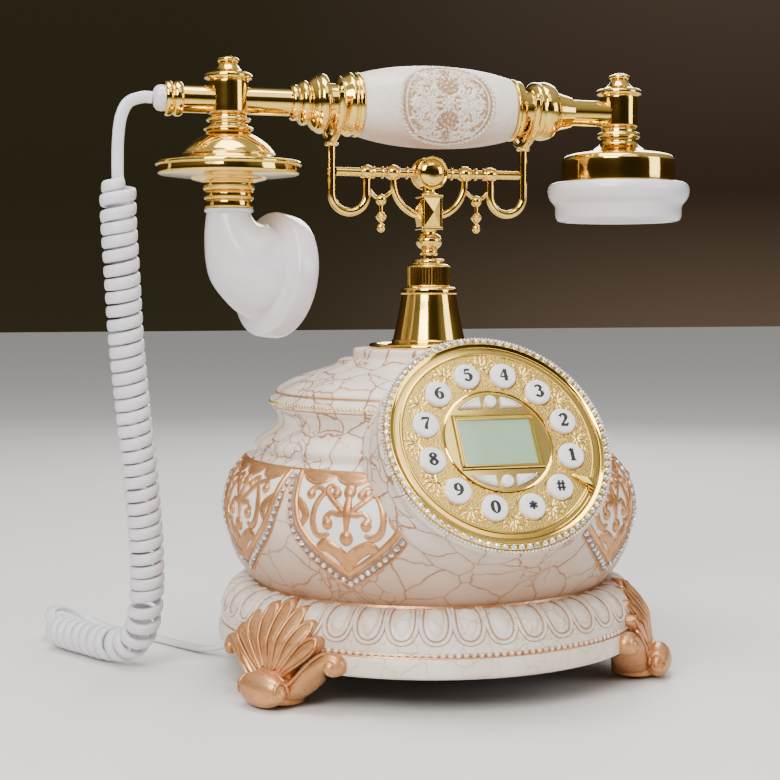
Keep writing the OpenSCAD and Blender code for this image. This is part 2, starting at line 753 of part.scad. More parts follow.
// Hanging drops, each on two short arms between a brace and a hook
module pendant() {
  drop_x = knob_x[0] + 5.7;
  knot_z = bar_z - hook_leg - 2.3;
  arm_r = 0.9;
  translate([drop_x, 0, knot_z]) {
    rotate([0, 52.8, 0]) cylinder(r = arm_r, h = 5.15);
    rotate([0, -47, 0]) cylinder(r = arm_r, h = 5.8);
    sphere(r = 2.4);
    translate([0, 0, -12]) cylinder(r = arm_r, h = 12);
    translate([0, 0, -7.7]) sphere(r = 2.6);
    translate([0, 0, -12.5]) sphere(r = 2);
  }
}
module cradle_pendants() color(gold) at_axis() {
  pendant();
  mirror([1, 0, 0]) pendant();
}

// ---- handset ----
// Outlines along the handset are [radius, distance to the ear side]
module along_handset(outline) at_axis() translate([0, 0, handset_z])
  rotate([0, 90, 0]) ring_of(outline);
mouth_x = handset_shift - tee_span / 2;
ear_x = handset_shift + tee_span / 2;
tube_end = mouth_x - tube_over;
grip_left = grip_x - grip_len / 2;
grip_right = grip_x + grip_len / 2;
tube_bore = tube_r + fit_gap / 2;
boss_ring_r = tube_r + 1.75;

module handset_tube() color(gold) along_handset(
  [[tube_r - tube_wall, tube_end - 7.7],
   [boss_ring_r - 0.6, tube_end - 7.7],
   [boss_ring_r, tube_end - 7],
   [boss_ring_r, tube_end - 5],
   [boss_ring_r - 1, tube_end - 4.2],
   [boss_ring_r, tube_end - 3.4],
   [boss_ring_r, tube_end - 0.8],
   [boss_ring_r - 0.6, tube_end],
   [tube_r, tube_end],
   [tube_r, ear_x],
   [tube_r - tube_wall, ear_x]]);

cord_exit_x = tube_end - 12.6;
module cord_boss() color(white) along_handset(
  [[0, cord_exit_x],
   [4.8, cord_exit_x],
   [5.6, cord_exit_x + 0.9],
   [5.6, tube_end - 7.7],
   [tube_r - tube_wall - fit_gap / 2, tube_end - 7.7],
   [tube_r - tube_wall - fit_gap / 2, tube_end - 2],
   [0, tube_end - 2]]);

grip_round = 3;
module grip() color(ivory) {
  difference() {
    union() {
      along_handset(concat(
        [[0, grip_left], [grip_end_r - grip_round * 0.7, grip_left]],
        [for (i = [-8:8]) let (t = i / 8)
          [grip_end_r - 0.6 * abs(i) / 8 + (grip_mid_r - grip_end_r) * (1 - pow(abs(t), 2.5)),
           grip_x + t * (grip_len / 2 - grip_round * 0.5)]],
        [[grip_end_r - grip_round * 0.7, grip_right], [0, grip_right]]));
      at_axis() translate([grip_x + 1, 0, handset_z]) for (y = [-1.5, 1.5])
        translate([0, y, 0]) scale([23, grip_mid_r, grip_mid_r - 0.4]) sphere(r = 1);
    }
    along_handset([[0, grip_left - 2], [tube_bore, grip_left - 2], [tube_bore, grip_right + 2], [0, grip_right + 2]]);
  }
}

groove_lo = fork_x - groove_w / 2;
groove_hi = fork_x + groove_w / 2;
// The beaded neck on the mouth side, outward from the grip
module neck_left() color(gold) along_handset(
  [for (p = [[tube_bore, -grip_left],
    [grip_end_r - 1.2, -grip_left],
    [grip_end_r - 0.8, -grip_left + 1],
    [grip_end_r - 0.8, groove_lo - 8.4],
    [grip_end_r - 1.6, groove_lo - 7.9],
    [grip_end_r - 0.9, groove_lo - 6],
    [grip_end_r - 1.2, groove_lo - 3.4],
    [grip_end_r - 3, groove_lo - 1],
    [groove_r, groove_lo],
    [groove_r, groove_hi],
    [grip_end_r - 3.2, groove_hi + 0.8],
    [grip_end_r - 1.9, groove_hi + 2.6],
    [grip_end_r - 1.8, groove_hi + 4.2],
    [grip_end_r - 3, groove_hi + 6.8],
    [8.6, groove_hi + 9.2],
    [9.7, groove_hi + 10.4],
    [9.6, groove_hi + 12.6],
    [7.6, groove_hi + 14.2],
    [7.9, groove_hi + 15],
    [7.9, groove_hi + 16.6],
    [tube_r + 1, groove_hi + 17.4],
    [tube_bore, groove_hi + 17.4]]) [p[0], -p[1]]]);

module neck_right() color(gold) along_handset(
  [[tube_bore, grip_right],
   [grip_end_r - 1.4, grip_right],
   [grip_end_r - 1, grip_right + 1],
   [grip_end_r - 1.6, grip_right + 2.2],
   [grip_end_r - 1.6, groove_lo - 1],
   [groove_r, groove_lo],
   [groove_r, groove_hi],
   [grip_end_r - 3, groove_hi + 1],
   [grip_end_r - 1.8, groove_hi + 3.4],
   [grip_end_r - 2.1, groove_hi + 5],
   [grip_end_r - 1.6, groove_hi + 7],
   [grip_end_r - 2.4, groove_hi + 10.6],
   [grip_end_r - 4.6, groove_hi + 12.8],
   [8.8, groove_hi + 14],
   [8.2, groove_hi + 17],
   [tube_r + 1, groove_hi + 21.5],
   [tube_bore, groove_hi + 21.5]]);

post_half = 6.3;
post_top = 9.7;
// A post's outline above the handset's axis, from its foot to its cone
post_outline = [[0, -post_half], [post_r - 0.8, -post_half], [post_r, -post_half + 0.8],
  [post_r, post_top - 1], [post_r + 1.7, post_top - 0.2], [post_r + 1.7, post_top + 1.4],
  [post_r - 1, post_top + 2.2], [5.4, post_top + 3.6], [4.1, post_top + 5.4], [0, post_top + 5.4]];

module at_post(x) at_axis() translate([x, 0, handset_z]) children();

module handset_tees() color(gold) {
  difference() {
    at_post(mouth_x) ring_of(post_outline);
    along_handset([[0, mouth_x - 20], [tube_bore, mouth_x - 20], [tube_bore, mouth_x + 20], [0, mouth_x + 20]]);
  }
  difference() {
    at_post(ear_x) ring_of(post_outline);
    along_handset([[0, ear_x - 20], [tube_bore, ear_x - 20], [tube_bore, ear_x + fit_gap], [0, ear_x + fit_gap]]);
  }
}

module finials() color(gold) for (x = [mouth_x, ear_x]) at_post(x) ring_of(concat(
  [[0, post_top + 5.4], [3.2, post_top + 5.4]],
  [for (t = [-50:20:70]) [4.6 * cos(t), post_top + 7.5 + 2.1 * sin(t)]],
  [[0, post_top + 9.5]]));

// ---- mouthpiece ----
dish_top = -post_half;
dish_foot = dish_top - 29.3;
neck_foot = dish_foot - 11.6;
module mouth_dish() color(gold) at_post(mouth_x) ring_of(
  [[2, dish_top],
   [post_r - 1.6, dish_top],
   [post_r - 0.6, dish_top - 1.2],
   [post_r + 1, dish_top - 2.3],
   [post_r - 0.4, dish_top - 3.5],
   [post_r - 0.4, dish_top - 5],
   [post_r + 2.2, dish_top - 6.2],
   [post_r + 0.6, dish_top - 7.4],
   [post_r + 1.6, dish_top - 8.7],
   [0.42 * dish_r + 1, dish_top - 11.4],
   [0.6 * dish_r, dish_top - 13.6],
   [0.65 * dish_r, dish_top - 14.9],
   [0.65 * dish_r, dish_top - 15.7],
   [0.75 * dish_r, dish_top - 18.1],
   [0.87 * dish_r, dish_top - 19.4],
   [dish_r - 0.7, dish_top - 21.2],
   [dish_r, dish_top - 22.8],
   [dish_r - 0.7, dish_top - 24.8],
   [0.75 * dish_r, dish_top - 27.4],
   [0.45 * dish_r, dish_foot],
   [horn_neck_r + 1.6, dish_foot - 0.2],
   [horn_neck_r + 1.6, dish_foot - 3.2],
   [horn_neck_r + 0.2, dish_foot - 4],
   [horn_neck_r + 1.1, dish_foot - 5],
   [horn_neck_r + 1.1, dish_foot - 7],
   [horn_neck_r - 0.2, dish_foot - 7.8],
   [horn_neck_r + 0.5, dish_foot - 8.8],
   [horn_neck_r + 0.5, neck_foot],
   [2, neck_foot]]);

// The horn is a tube of round rings along a bend: each station is
// [forward, down, tilt from straight down, outer radius, inner radius]
mouth_w = horn_lip_r - 5.7;
horn_stations = [
  [0, 0, 0, horn_neck_r, horn_neck_r - horn_wall],
  [0, 3, 0, horn_neck_r, horn_neck_r - horn_wall],
  [0.3, 7, 12, horn_neck_r + 1.1, horn_neck_r + 1.1 - horn_wall],
  [1.2, 11.2, 25, horn_neck_r + 2.8, horn_neck_r + 2.8 - horn_wall],
  [2.8, 15.4, 38, horn_neck_r + 5.2, horn_neck_r + 5.2 - horn_wall],
  [5, 19.4, 51, horn_neck_r + 7.7, horn_neck_r + 7.7 - horn_wall],
  [8.6, 23.4, 63, mouth_w - 3.2, mouth_w - 3.2 - horn_wall],
  [13, 26.6, 73, mouth_w - 1.5, mouth_w - 1.5 - horn_wall],
  [18.6, 28.4, 80, mouth_w, mouth_w - horn_wall],
  [19.6, 28.6, 81, mouth_w + 2, mouth_w - horn_wall],
  [21, 28.9, 82, horn_lip_r - 0.5, mouth_w - horn_wall],
  [22.6, 29.1, 82, horn_lip_r, mouth_w - horn_wall],
  [18.6 + horn_lip_d - 2, 29.9, 82, horn_lip_r, mouth_w - horn_wall + 0.6],
  [18.6 + horn_lip_d - 0.6, 30.1, 82, horn_lip_r - 0.7, mouth_w - 0.6],
  [18.6 + horn_lip_d, 30.2, 82, horn_lip_r - 2, mouth_w + 0.8]];
horn_sides = 36;
function horn_ring(s, r) = [for (k = [0:horn_sides - 1]) let (a = 360 * k / horn_sides)
  [s[0] + r * cos(a) * cos(s[2]), r * sin(a), -s[1] + r * cos(a) * sin(s[2])]];

module mouth_horn() color(white) at_post(mouth_x) translate([0, 0, neck_foot])
  rotate([0, 0, horn_turn]) {
    n = len(horn_stations);
    closed_loop(concat(
      [for (s = horn_stations) horn_ring(s, s[3])],
      [for (i = [n - 1:-1:0]) horn_ring(horn_stations[i], horn_stations[i][4])]));
  }

module microphone() color("dimgray") at_post(mouth_x) translate([0, 0, neck_foot - 2.8])
  cylinder(r = horn_neck_r - horn_wall - fit_gap, h = 2.8);

// ---- earpiece ----
bell_top = -post_half;
bell_foot = bell_top - 25.7;
module ear_bell() color(gold) at_post(ear_x) ring_of(
  [[2, bell_top],
   [post_r - 1.6, bell_top],
   [post_r - 0.4, bell_top - 2.4],
   [post_r + 1.3, bell_top - 3.4],
   [post_r + 1.3, bell_top - 4.6],
   [post_r - 0.6, bell_top - 5.6],
   [post_r + 0.2, bell_top - 7.4],
   [post_r + 3.4, bell_top - 10.4],
   [0.7 * bell_r, bell_top - 11.7],
   [bell_r - 3.4, bell_top - 12.4],
   [bell_r - 1, bell_top - 13.8],
   [bell_r, bell_top - 16.2],
   [bell_r, bell_foot],
   [bell_r - 2, bell_foot],
   [bell_r - 2, bell_top - 16.6],
   [bell_r - 4.4, bell_top - 14.4],
   [2, bell_top - 14.4]]);

receiver_r = bell_r - 6;
module ear_cap() color(white) at_post(ear_x) difference() {
  ring_of(lifted([[bell_r - 2, 0],
    [bell_r + 0.8, 0],
    [ear_lip_r - 1.2, -1],
    [ear_lip_r, -2.4],
    [ear_lip_r, -7.4],
    [ear_lip_r - 1, -9],
    [ear_band_r + 0.4, -9.6],
    [ear_band_r, -10.4],
    [ear_band_r, -17.6],
    [ear_band_r - 1, -18.6],
    [ear_band_r - 5, -18.6],
    [ear_band_r - 8, -15.6],
    [0.4 * ear_band_r, -13.2],
    [0, -12.8],
    [0, -10.6],
    [receiver_r + 0.6, -10.6],
    [receiver_r + 0.6, -4]], bell_foot));
  for (a = [0:45:315]) rotate([0, 0, a]) translate([8, 0, bell_foot - 20])
    cylinder(r = 1.2, h = 12);
}

module receiver() color("dimgray") at_post(ear_x) translate([0, 0, bell_foot - 10.6])
  ring_of([[0, 0], [receiver_r, 0], [receiver_r, 9], [receiver_r - 3, 10.6], [receiver_r - 8, 10.6],
    [receiver_r - 8, 14], [0, 14]]);

// ---- sockets and cord ----
port_z = 11;
port_angle = 75.84;
port_turn = 25.5;
socket_w = 14;
port_reach = bottom_plate_r - 6.63;
port = port_reach * [-sin(port_angle), cos(port_angle)];
line_port_x = 44;
line_port = [line_port_x, sqrt(pow(bottom_plate_r - 1.8, 2) - pow(line_port_x + socket_w / 2, 2))];
socket_d = 13;
plug_w = 6.4;
plug_h = 5;
plug_in = 9;
plug_out = 2.5;
plug_end = plug_out + seat_gap;

module at_port() at_axis() translate([port[0], port[1], port_z]) rotate([0, 0, port_turn]) children();

// A block hung under the bottom plate, with a port in its outer face
module socket_block() difference() {
  translate([-socket_w / 2, -socket_d, plate_z - port_z - 11]) cube([socket_w, socket_d, 11]);
  translate([-plug_w / 2 - 0.2, -plug_in - 0.2, -plug_h / 2 - 0.2])
    cube([plug_w + 0.4, plug_in + 2, plug_h + 0.4]);
}

module sockets() color("dimgray") {
  at_port() socket_block();
  at_axis() translate([line_port[0], line_port[1], port_z]) socket_block();
}

module cord_plug() color(white) at_port() {
  translate([-plug_w / 2, -plug_in, -plug_h / 2]) cube([plug_w, plug_in + plug_out, plug_h]);
}

// The cord's route, chosen by hand: the lead out of the handset, the coil's middle line,
// and the lead along the table to the plug
lead_in = [
  [cord_exit_x - seat_gap, 0, handset_z],
  [cord_exit_x - 4.5, 0, handset_z],
  [-136.6, 0, 254.6],
  [-139.8, 0, 248.5],
  [-141.1, 0, 240],
  [-141.5, 0, 230]];
coil_line = [
  [-141.5, 0, 222],
  [-141.2, 1, 205],
  [-139.5, 4, 180],
  [-137.3, 8, 150],
  [-134, 12, 120],
  [-130.5, 16, 90],
  [-127.8, 20, 62],
  [-127, 24, 38],
  [-128.5, 29, 21],
  [-133, 38, 11],
  [-140.5, 51, 8.6],
  [-149.5, 68, 8.5],
  [-156.5, 82, 8.5],
  [-160.5, 94, 9]];
lead_out = [
  [-162.5, 103, 11.5],
  [-161, 113, 13.5],
  [-154.5, 122, 12.5],
  [-146, 125, 8.5],
  [-136.5, 120, 3.6],
  [-127, 109, 1.8],
  [-114, 89, 1.8],
  [-102, 67, 1.8],
  [-95, 53, 2.6],
  [-89.5, 42, 5.6],
  [-85.2, 33.3, 9.2],
  [port[0] - (plug_out + 5) * sin(port_turn), port[1] + (plug_out + 5) * cos(port_turn), port_z],
  [port[0] - plug_end * sin(port_turn), port[1] + plug_end * cos(port_turn), port_z]];
bend_from = 7;
lying_from = 10;
route = concat(lead_in, coil_line, lead_out);
coil_first = len(lead_in);
coil_last = coil_first + len(coil_line) - 1;

function unit(v) = v / norm(v);
function spline(p, j, t) = let (a = p[max(j - 1, 0)], b = p[j], c = p[j + 1], d = p[min(j + 2, len(p) - 1)])
  0.5 * (2 * b + (c - a) * t + (2 * a - 5 * b + 4 * c - d) * t * t + (3 * b - a - 3 * c + d) * t * t * t);
function spline_dir(p, j, t) = let (a = p[max(j - 1, 0)], b = p[j], c = p[j + 1], d = p[min(j + 2, len(p) - 1)])
  unit((c - a) + 2 * (2 * a - 5 * b + 4 * c - d) * t + 3 * (3 * b - a - 3 * c + d) * t * t);

// Curls counted up to each point of the coil's middle line
function pitch_at(j) = j < bend_from ? hang_pitch : j < lying_from ? bend_pitch : lying_pitch;
function curls_to(j) = j == 0 ? 0
  : curls_to(j - 1) + norm(coil_line[j] - coil_line[j - 1]) / pitch_at(j - 1);
raw_curls = [for (j = [0:len(coil_line) - 1]) curls_to(j)];
raw_total = raw_curls[len(raw_curls) - 1];
// The coil leaves the hanging lead with its flat side to the rear, and meets the lying
// lead with its flat side down, so it ends this far into its last turn
side_turn = 31;
start_turn = side_turn - 90;
end_turn = 360 * floor(raw_total) + 90;
curl_total = (end_turn - start_turn) / 360;
rings_per_curl = 8;
coil_steps = round(curl_total * rings_per_curl);
function stretch_of(c, j = 0) = (j >= len(raw_curls) - 2 || c < raw_curls[j + 1]) ? j : stretch_of(c, j + 1);
function eased(x) = let (y = min(max(x, 0), 1)) y * y * (3 - 2 * y);

// Each sample is [point, direction of the cord's flat normal]
function coil_sample(i) = let (
  share = i / coil_steps,
  c = share * raw_total,
  j = stretch_of(c),
  t = (c - raw_curls[j]) / (raw_curls[j + 1] - raw_curls[j]),
  centre = spline(route, coil_first + j, t),
  along = spline_dir(route, coil_first + j, t),
  side = [cos(side_turn), sin(side_turn), 0],
  a = unit(side - (side * along) * along),
  b = cross(along, a),
  turn = start_turn + (end_turn - start_turn) * share,
  out = cos(turn) * a + sin(turn) * b,
  reach = (curl_r - cord_t / 2) * eased(share * curl_total) * eased((1 - share) * curl_total))
  [centre + reach * out, out];
function lead_samples(from, to, steps, normal) = [
  for (j = [from:to], s = [0:steps - 1]) [spline(route, j, s / steps), normal]];
cord_samples = concat(
  lead_samples(0, coil_first - 1, 3, [0, 1, 0]),
  [for (i = [0:coil_steps - 1]) coil_sample(i)],
  lead_samples(coil_last, len(route) - 2, 4, [0, 0, -1]),
  [[route[len(route) - 1], [0, 0, -1]]]);
cord_sides = 6;
function cord_ring(i) = let (
  n = len(cord_samples) - 1,
  ahead = unit(cord_samples[min(i + 1, n)][0] - cord_samples[max(i - 1, 0)][0]),
  guess = cord_samples[i][1],
  out = unit(guess - (guess * ahead) * ahead),
  wide = cross(ahead, out))
  [for (k = [0:cord_sides - 1]) let (a = 360 * k / cord_sides)
    cord_samples[i][0] + wide * cord_w / 2 * cos(a) + out * cord_t / 2 * sin(a)];

module curly_cord() color(white) at_axis()
  tube([for (i = [0:len(cord_samples) - 1]) cord_ring(i)]);

// ---- every node ----
plinth();
body_shell();
bottom_plate();
feet();
foot_pads();
plate_screws();
dial_trim();
dial_plate();
screen_bezel();
screen_glass();
screen_module();
finger_stop();
keypad_membrane();
keypad_board();
main_board();
ringer();
hook_switch();
hook_spring();
column_disc();
column_cone();
column_collar();
sockets();
cord_plug();
curly_cord();
hook_stem();
cradle_block();
cradle_bar();
cradle_forks();
cradle_pendants();
handset_tube();
grip();
neck_left();
neck_right();
cord_boss();
handset_tees();
finials();
mouth_dish();
mouth_horn();
microphone();
ear_bell();
ear_cap();
receiver();
for (i = [0:len(KEY_NAMES) - 1])
  number_key(i);
for (i = [0:len(FN_NAMES) - 1])
  function_key(i);
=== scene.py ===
# %% [markdown]
# # An ornate push-button telephone
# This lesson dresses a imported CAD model: each solid that shows gets a finer piece over it or a
# finish of its own. The frame comes first, because every piece takes its place from it.

import math

import bmesh
import bpy
from mathutils import Matrix, Vector


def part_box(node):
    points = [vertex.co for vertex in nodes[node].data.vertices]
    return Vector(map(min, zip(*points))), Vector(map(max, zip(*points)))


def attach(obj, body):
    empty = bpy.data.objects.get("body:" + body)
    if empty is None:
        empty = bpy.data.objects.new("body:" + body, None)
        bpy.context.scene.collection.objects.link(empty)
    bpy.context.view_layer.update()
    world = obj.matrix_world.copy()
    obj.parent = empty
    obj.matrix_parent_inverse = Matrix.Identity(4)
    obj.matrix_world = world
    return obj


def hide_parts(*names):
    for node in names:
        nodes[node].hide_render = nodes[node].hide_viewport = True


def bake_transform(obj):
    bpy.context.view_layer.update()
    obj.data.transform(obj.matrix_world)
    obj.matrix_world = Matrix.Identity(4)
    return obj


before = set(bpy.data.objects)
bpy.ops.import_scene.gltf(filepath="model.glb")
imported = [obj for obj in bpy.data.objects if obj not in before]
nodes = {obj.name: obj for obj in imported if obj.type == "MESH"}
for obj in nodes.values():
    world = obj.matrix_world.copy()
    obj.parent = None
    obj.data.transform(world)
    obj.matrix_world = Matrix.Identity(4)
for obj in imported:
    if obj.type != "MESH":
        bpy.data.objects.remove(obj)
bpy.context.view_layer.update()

# %% [markdown]
# ## Places, in millimetres
# The pieces are drawn in millimetres and made metres at the end. The main places are read from
# the solids, so a piece stays on its solid when a size of the model changes.

# %% Read the main places
MM = 0.001


def node_box(name):
    """The two corners of a solid's box, in millimetres."""
    low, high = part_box(name)
    return Vector(low) / MM, Vector(high) / MM


def middle(name):
    low, high = node_box(name)
    return (low + high) / 2


AXIS_X = middle("plinth").x
HANDSET_Z = middle("handset_tube").z
BLOCK_Z, BLOCK_TOP = (corner.z for corner in node_box("cradle_block"))
BAR_OVER_BLOCK, FORK_PAST_BAR = 9.9, 1.95
BAR_Z = BLOCK_TOP + BAR_OVER_BLOCK
FORK_X = node_box("cradle_bar")[1].x - AXIS_X + FORK_PAST_BAR
MOUTH_X = middle("microphone").x
EAR_X = middle("receiver").x
DIAL_TILT = math.radians(32.8)
print("handset axis at", round(HANDSET_Z, 1), "mm; forks at", round(FORK_X, 1), "mm")

# %% [markdown]
# Some pieces are turned about an axis that isn't upright, so each place is a matrix: the shape
# is made about its own Z axis and the matrix carries it there.

# %% Name the places
PLATE_FACE = 0.6
UPRIGHT = Matrix.Translation((AXIS_X, 0, 0))
plate_middle = middle("dial_plate")
DIAL_OUT = Vector((0, -math.cos(DIAL_TILT), math.sin(DIAL_TILT)))
DIAL = (Matrix.Translation(plate_middle + DIAL_OUT * PLATE_FACE)
        @ Matrix.Rotation(math.pi / 2 - DIAL_TILT, 4, "X"))
ALONG = Matrix.Translation((AXIS_X, 0, HANDSET_Z)) @ Matrix.Rotation(math.pi / 2, 4, "Y")
MOUTH = Matrix.Translation((MOUTH_X, 0, HANDSET_Z))
EAR = Matrix.Translation((EAR_X, 0, HANDSET_Z))
print("dial at", [round(c, 1) for c in plate_middle], "mm; posts at", round(MOUTH_X, 1), "and",
      round(EAR_X, 1), "mm")

# %% [markdown]
# ## The camera
# A long lens stands low on the left of the front, so the dial is seen turned to the right and
# the handset a little from below its ends.

# %% Set the camera
CAMERA_SPOT = Vector((AXIS_X - 238.0, -689.2, 174.1))
CAMERA_TURN = math.radians(17.65)
CAMERA_DIP = math.radians(3.605)
camera = bpy.data.objects.new("camera", bpy.data.cameras.new("camera"))
bpy.context.scene.collection.objects.link(camera)
camera.data.sensor_width = 36
camera.data.lens = 73.2
camera.data.clip_start, camera.data.clip_end = 0.05, 30
camera.location = CAMERA_SPOT * MM
camera.rotation_euler = (math.pi / 2 - CAMERA_DIP, 0, -CAMERA_TURN)
bpy.context.scene.camera = camera
print("camera", round(CAMERA_SPOT.length), "mm from the foot of the object")

# %% [markdown]
# ## Making shapes
# Most of this object is turned work, bent rod and small beads. `lathe` spins an outline,
# `rod` pushes a ring along a line, and `bead` and `brick` are the small fill-ins. Each returns
# a bmesh in millimetres.

# %% Smooth a line through points
def between(before, start, end, after, t):
    """A point on the smooth curve from start to end, in any number of dimensions."""
    return [0.5 * (2 * b + (c - a) * t + (2 * a - 5 * b + 4 * c - d) * t * t
                   + (3 * b - a - 3 * c + d) * t * t * t)
            for a, b, c, d in zip(before, start, end, after)]


def through(points, cuts=6, closed=False):
    """Points on a smooth curve through the given ones."""
    count = len(points)
    line = []
    for i in range(count if closed else count - 1):
        if closed:
            near = [points[(i + k) % count] for k in (-1, 0, 1, 2)]
        else:
            near = [points[min(max(i + k, 0), count - 1)] for k in (-1, 0, 1, 2)]
        line += [between(*near, k / cuts) for k in range(cuts)]
    return line if closed else line + [list(points[-1])]


def outline(points, cuts=5):
    """A turner's outline: (radius, height) points, where a third value keeps a corner sharp."""
    line = []
    last = len(points) - 1
    for i in range(last):
        start, end = points[i][:2], points[i + 1][:2]
        before = start if i == 0 or len(points[i]) > 2 else points[i - 1][:2]
        after = end if i + 1 == last or len(points[i + 1]) > 2 else points[i + 2][:2]
        straight = before == start and after == end
        steps = 1 if straight else cuts
        line += [between(before, start, end, after, k / steps) for k in range(steps)]
    return line + [list(points[last][:2])]


# %% [markdown]
# A turned piece comes off a lathe, so here an outline is spun. A Screw modifier would do the same,
# but the spin operator gives the mesh at once and merges its own seam.

# %% Spin an outline round Z
def lathe(points, steps=64, exact=False):
    """exact keeps the outline's corners as given instead of smoothing between them."""
    shape = bmesh.new()
    line = [list(p[:2]) for p in points] if exact else outline(points)
    chain = [shape.verts.new((max(r, 0.0), 0, z)) for r, z in line]
    edges = [shape.edges.new(pair) for pair in zip(chain, chain[1:])]
    bmesh.ops.spin(shape, geom=chain + edges, cent=(0, 0, 0), axis=(0, 0, 1), dvec=(0, 0, 0),
                   angle=2 * math.pi, steps=steps, use_merge=True)
    return shape


# %% [markdown]
# Bent bar, the horn and the cord are one ring pushed along a line. A curve with a bevel could do
# it, but here each ring may have its own size, flatness and turn.

# %% Push a ring along a line
def pushed(shape, edges):
    """Draws edges out to new ones, and gives the new edges and their points."""
    grown = bmesh.ops.extrude_edge_only(shape, edges=edges)["geom"]
    return ([g for g in grown if isinstance(g, bmesh.types.BMEdge)],
            [g for g in grown if isinstance(g, bmesh.types.BMVert)])


def swept(places, sides, closed=False, square=1.0):
    """A skin over a ring that is extruded from place to place; each place is a matrix."""
    shape = bmesh.new()
    bmesh.ops.create_circle(shape, segments=sides, radius=1)
    for vert in shape.verts:
        vert.co = [math.copysign(abs(c) ** square, c) for c in vert.co]
    bmesh.ops.transform(shape, matrix=places[0], verts=shape.verts)
    first = edges = list(shape.edges)
    for before, after in zip(places, places[1:]):
        edges, verts = pushed(shape, edges)
        bmesh.ops.transform(shape, matrix=after @ before.inverted(), verts=verts)
    if closed:
        bmesh.ops.bridge_loops(shape, edges=first + edges)
    else:
        bmesh.ops.holes_fill(shape, edges=first + edges)
    return shape


def rod(points, sides=10, cuts=6, closed=False, flat=1.0, up=(0, 0, 1), smooth=True, square=1.0):
    """points are (x, y, z, radius), with a flatness as an optional fifth number."""
    points = [[*p, flat] if len(p) == 4 else list(p) for p in points]
    line = through(points, cuts, closed) if smooth else points
    count = len(line)
    ups = up if isinstance(up, list) else [up] * count
    places = []
    for i, (x, y, z, r, squeeze) in enumerate(line):
        ahead = line[(i + 1) % count] if closed else line[min(i + 1, count - 1)]
        behind = line[(i - 1) % count] if closed else line[max(i - 1, 0)]
        along = (Vector(ahead[:3]) - Vector(behind[:3])).normalized()
        over = Vector(ups[i]) - Vector(ups[i]).dot(along) * along
        over = over.normalized() if over.length > 1e-4 else along.orthogonal().normalized()
        r = max(r, 0.02)
        turn = Matrix((along.cross(over) * r, over * r * squeeze, along)).transposed().to_4x4()
        places.append(Matrix.Translation((x, y, z)) @ turn)
    return swept(places, sides, closed, square)


# %% [markdown]
# Small parts repeat, so one is made and then copied to each of its places. Everything that has
# one finish and moves together ends up in one mesh.

# %% Beads, bricks and joining
def bead(radius, place=(0, 0, 0), sides=10, rings=7):
    """A ball, or an egg when radius is three numbers."""
    sizes = Vector((radius,) * 3) if isinstance(radius, (int, float)) else Vector(radius)
    shape = bmesh.new()
    bmesh.ops.create_uvsphere(shape, u_segments=sides, v_segments=rings, radius=1,
                              matrix=Matrix.Translation(place) @ Matrix.Diagonal((*sizes, 1)))
    return shape


def brick(size, place=(0, 0, 0), edge=0.0):
    """A block whose edges are rounded by `edge`."""
    shape = bmesh.new()
    bmesh.ops.create_cube(shape, size=1, matrix=Matrix.Translation(place)
                          @ Matrix.Diagonal((*size, 1)))
    if edge:
        bmesh.ops.bevel(shape, geom=list(shape.edges), offset=edge, segments=2,
                        affect="EDGES", profile=0.5, material=-1)
    return shape


def put(target, shape, *places):
    """Copies a shape into the target at each place, then lets it go."""
    mesh = bpy.data.meshes.new("copy")
    shape.to_mesh(mesh)
    for place in places or (Matrix(),):
        start = len(target.verts)
        target.from_mesh(mesh)
        target.verts.ensure_lookup_table()
        bmesh.ops.transform(target, matrix=place, verts=target.verts[start:])
    bpy.data.meshes.remove(mesh)
    shape.free()
    return target


def joined(*shapes):
    """Several shapes as one."""
    whole = bmesh.new()
    for shape in shapes:
        put(whole, shape)
    return whole


def spun(angle, axis="Z"):
    """A turn in degrees."""
    return Matrix.Rotation(math.radians(angle), 4, axis)


# %% [markdown]
# `make` finishes a piece: millimetres become metres, doubles are merged, the normals turned
# outwards, edges past an angle kept sharp, and the piece is given its body and finish, while the
# CAD solids that it stands for are hidden.

# %% Finish a piece
MERGE, SLIVER = 0.000004, 0.000002
made_faces = 0


def make(name, shape, place, material, body, cad=(), sharp=38):
    """cad names the solids that the piece is shown instead of; sharp is an angle in degrees."""
    global made_faces
    bmesh.ops.transform(shape, matrix=Matrix.Scale(MM, 4) @ place, verts=shape.verts)
    bmesh.ops.remove_doubles(shape, verts=shape.verts, dist=MERGE)
    bmesh.ops.dissolve_degenerate(shape, edges=shape.edges, dist=SLIVER)
    bmesh.ops.recalc_face_normals(shape, faces=shape.faces)
    mesh = bpy.data.meshes.new(name)
    shape.to_mesh(mesh)
    shape.free()
    mesh.shade_smooth()
    mesh.set_sharp_from_angle(angle=math.radians(sharp))
    mesh.materials.append(material)
    piece = bpy.data.objects.new(name, mesh)
    bpy.context.scene.collection.objects.link(piece)
    if body:
        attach(piece, body)
    if cad:
        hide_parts(*cad)
    made_faces += len(mesh.polygons)
    print(f"{name}: {len(mesh.polygons)} faces, in {material.name}")
    return piece


# %% [markdown]
# ## Finishes
# The ivory body is a crackle lacquer, the fittings are mirror gold, and the feet and fretwork
# are painted a copper gold. Effects that several finishes share are node groups.

# %% Small helpers for shader nodes
def node(tree, kind, **values):
    """A new node; each value is a setting of the node or the default of one of its sockets."""
    made = tree.nodes.new(kind)
    for key, value in values.items():
        if hasattr(made, key) and key not in made.inputs:
            setattr(made, key, value)
        else:
            made.inputs[key.replace("_", " ")].default_value = value
    return made


def wire(tree, source, target):
    tree.links.new(source, target)


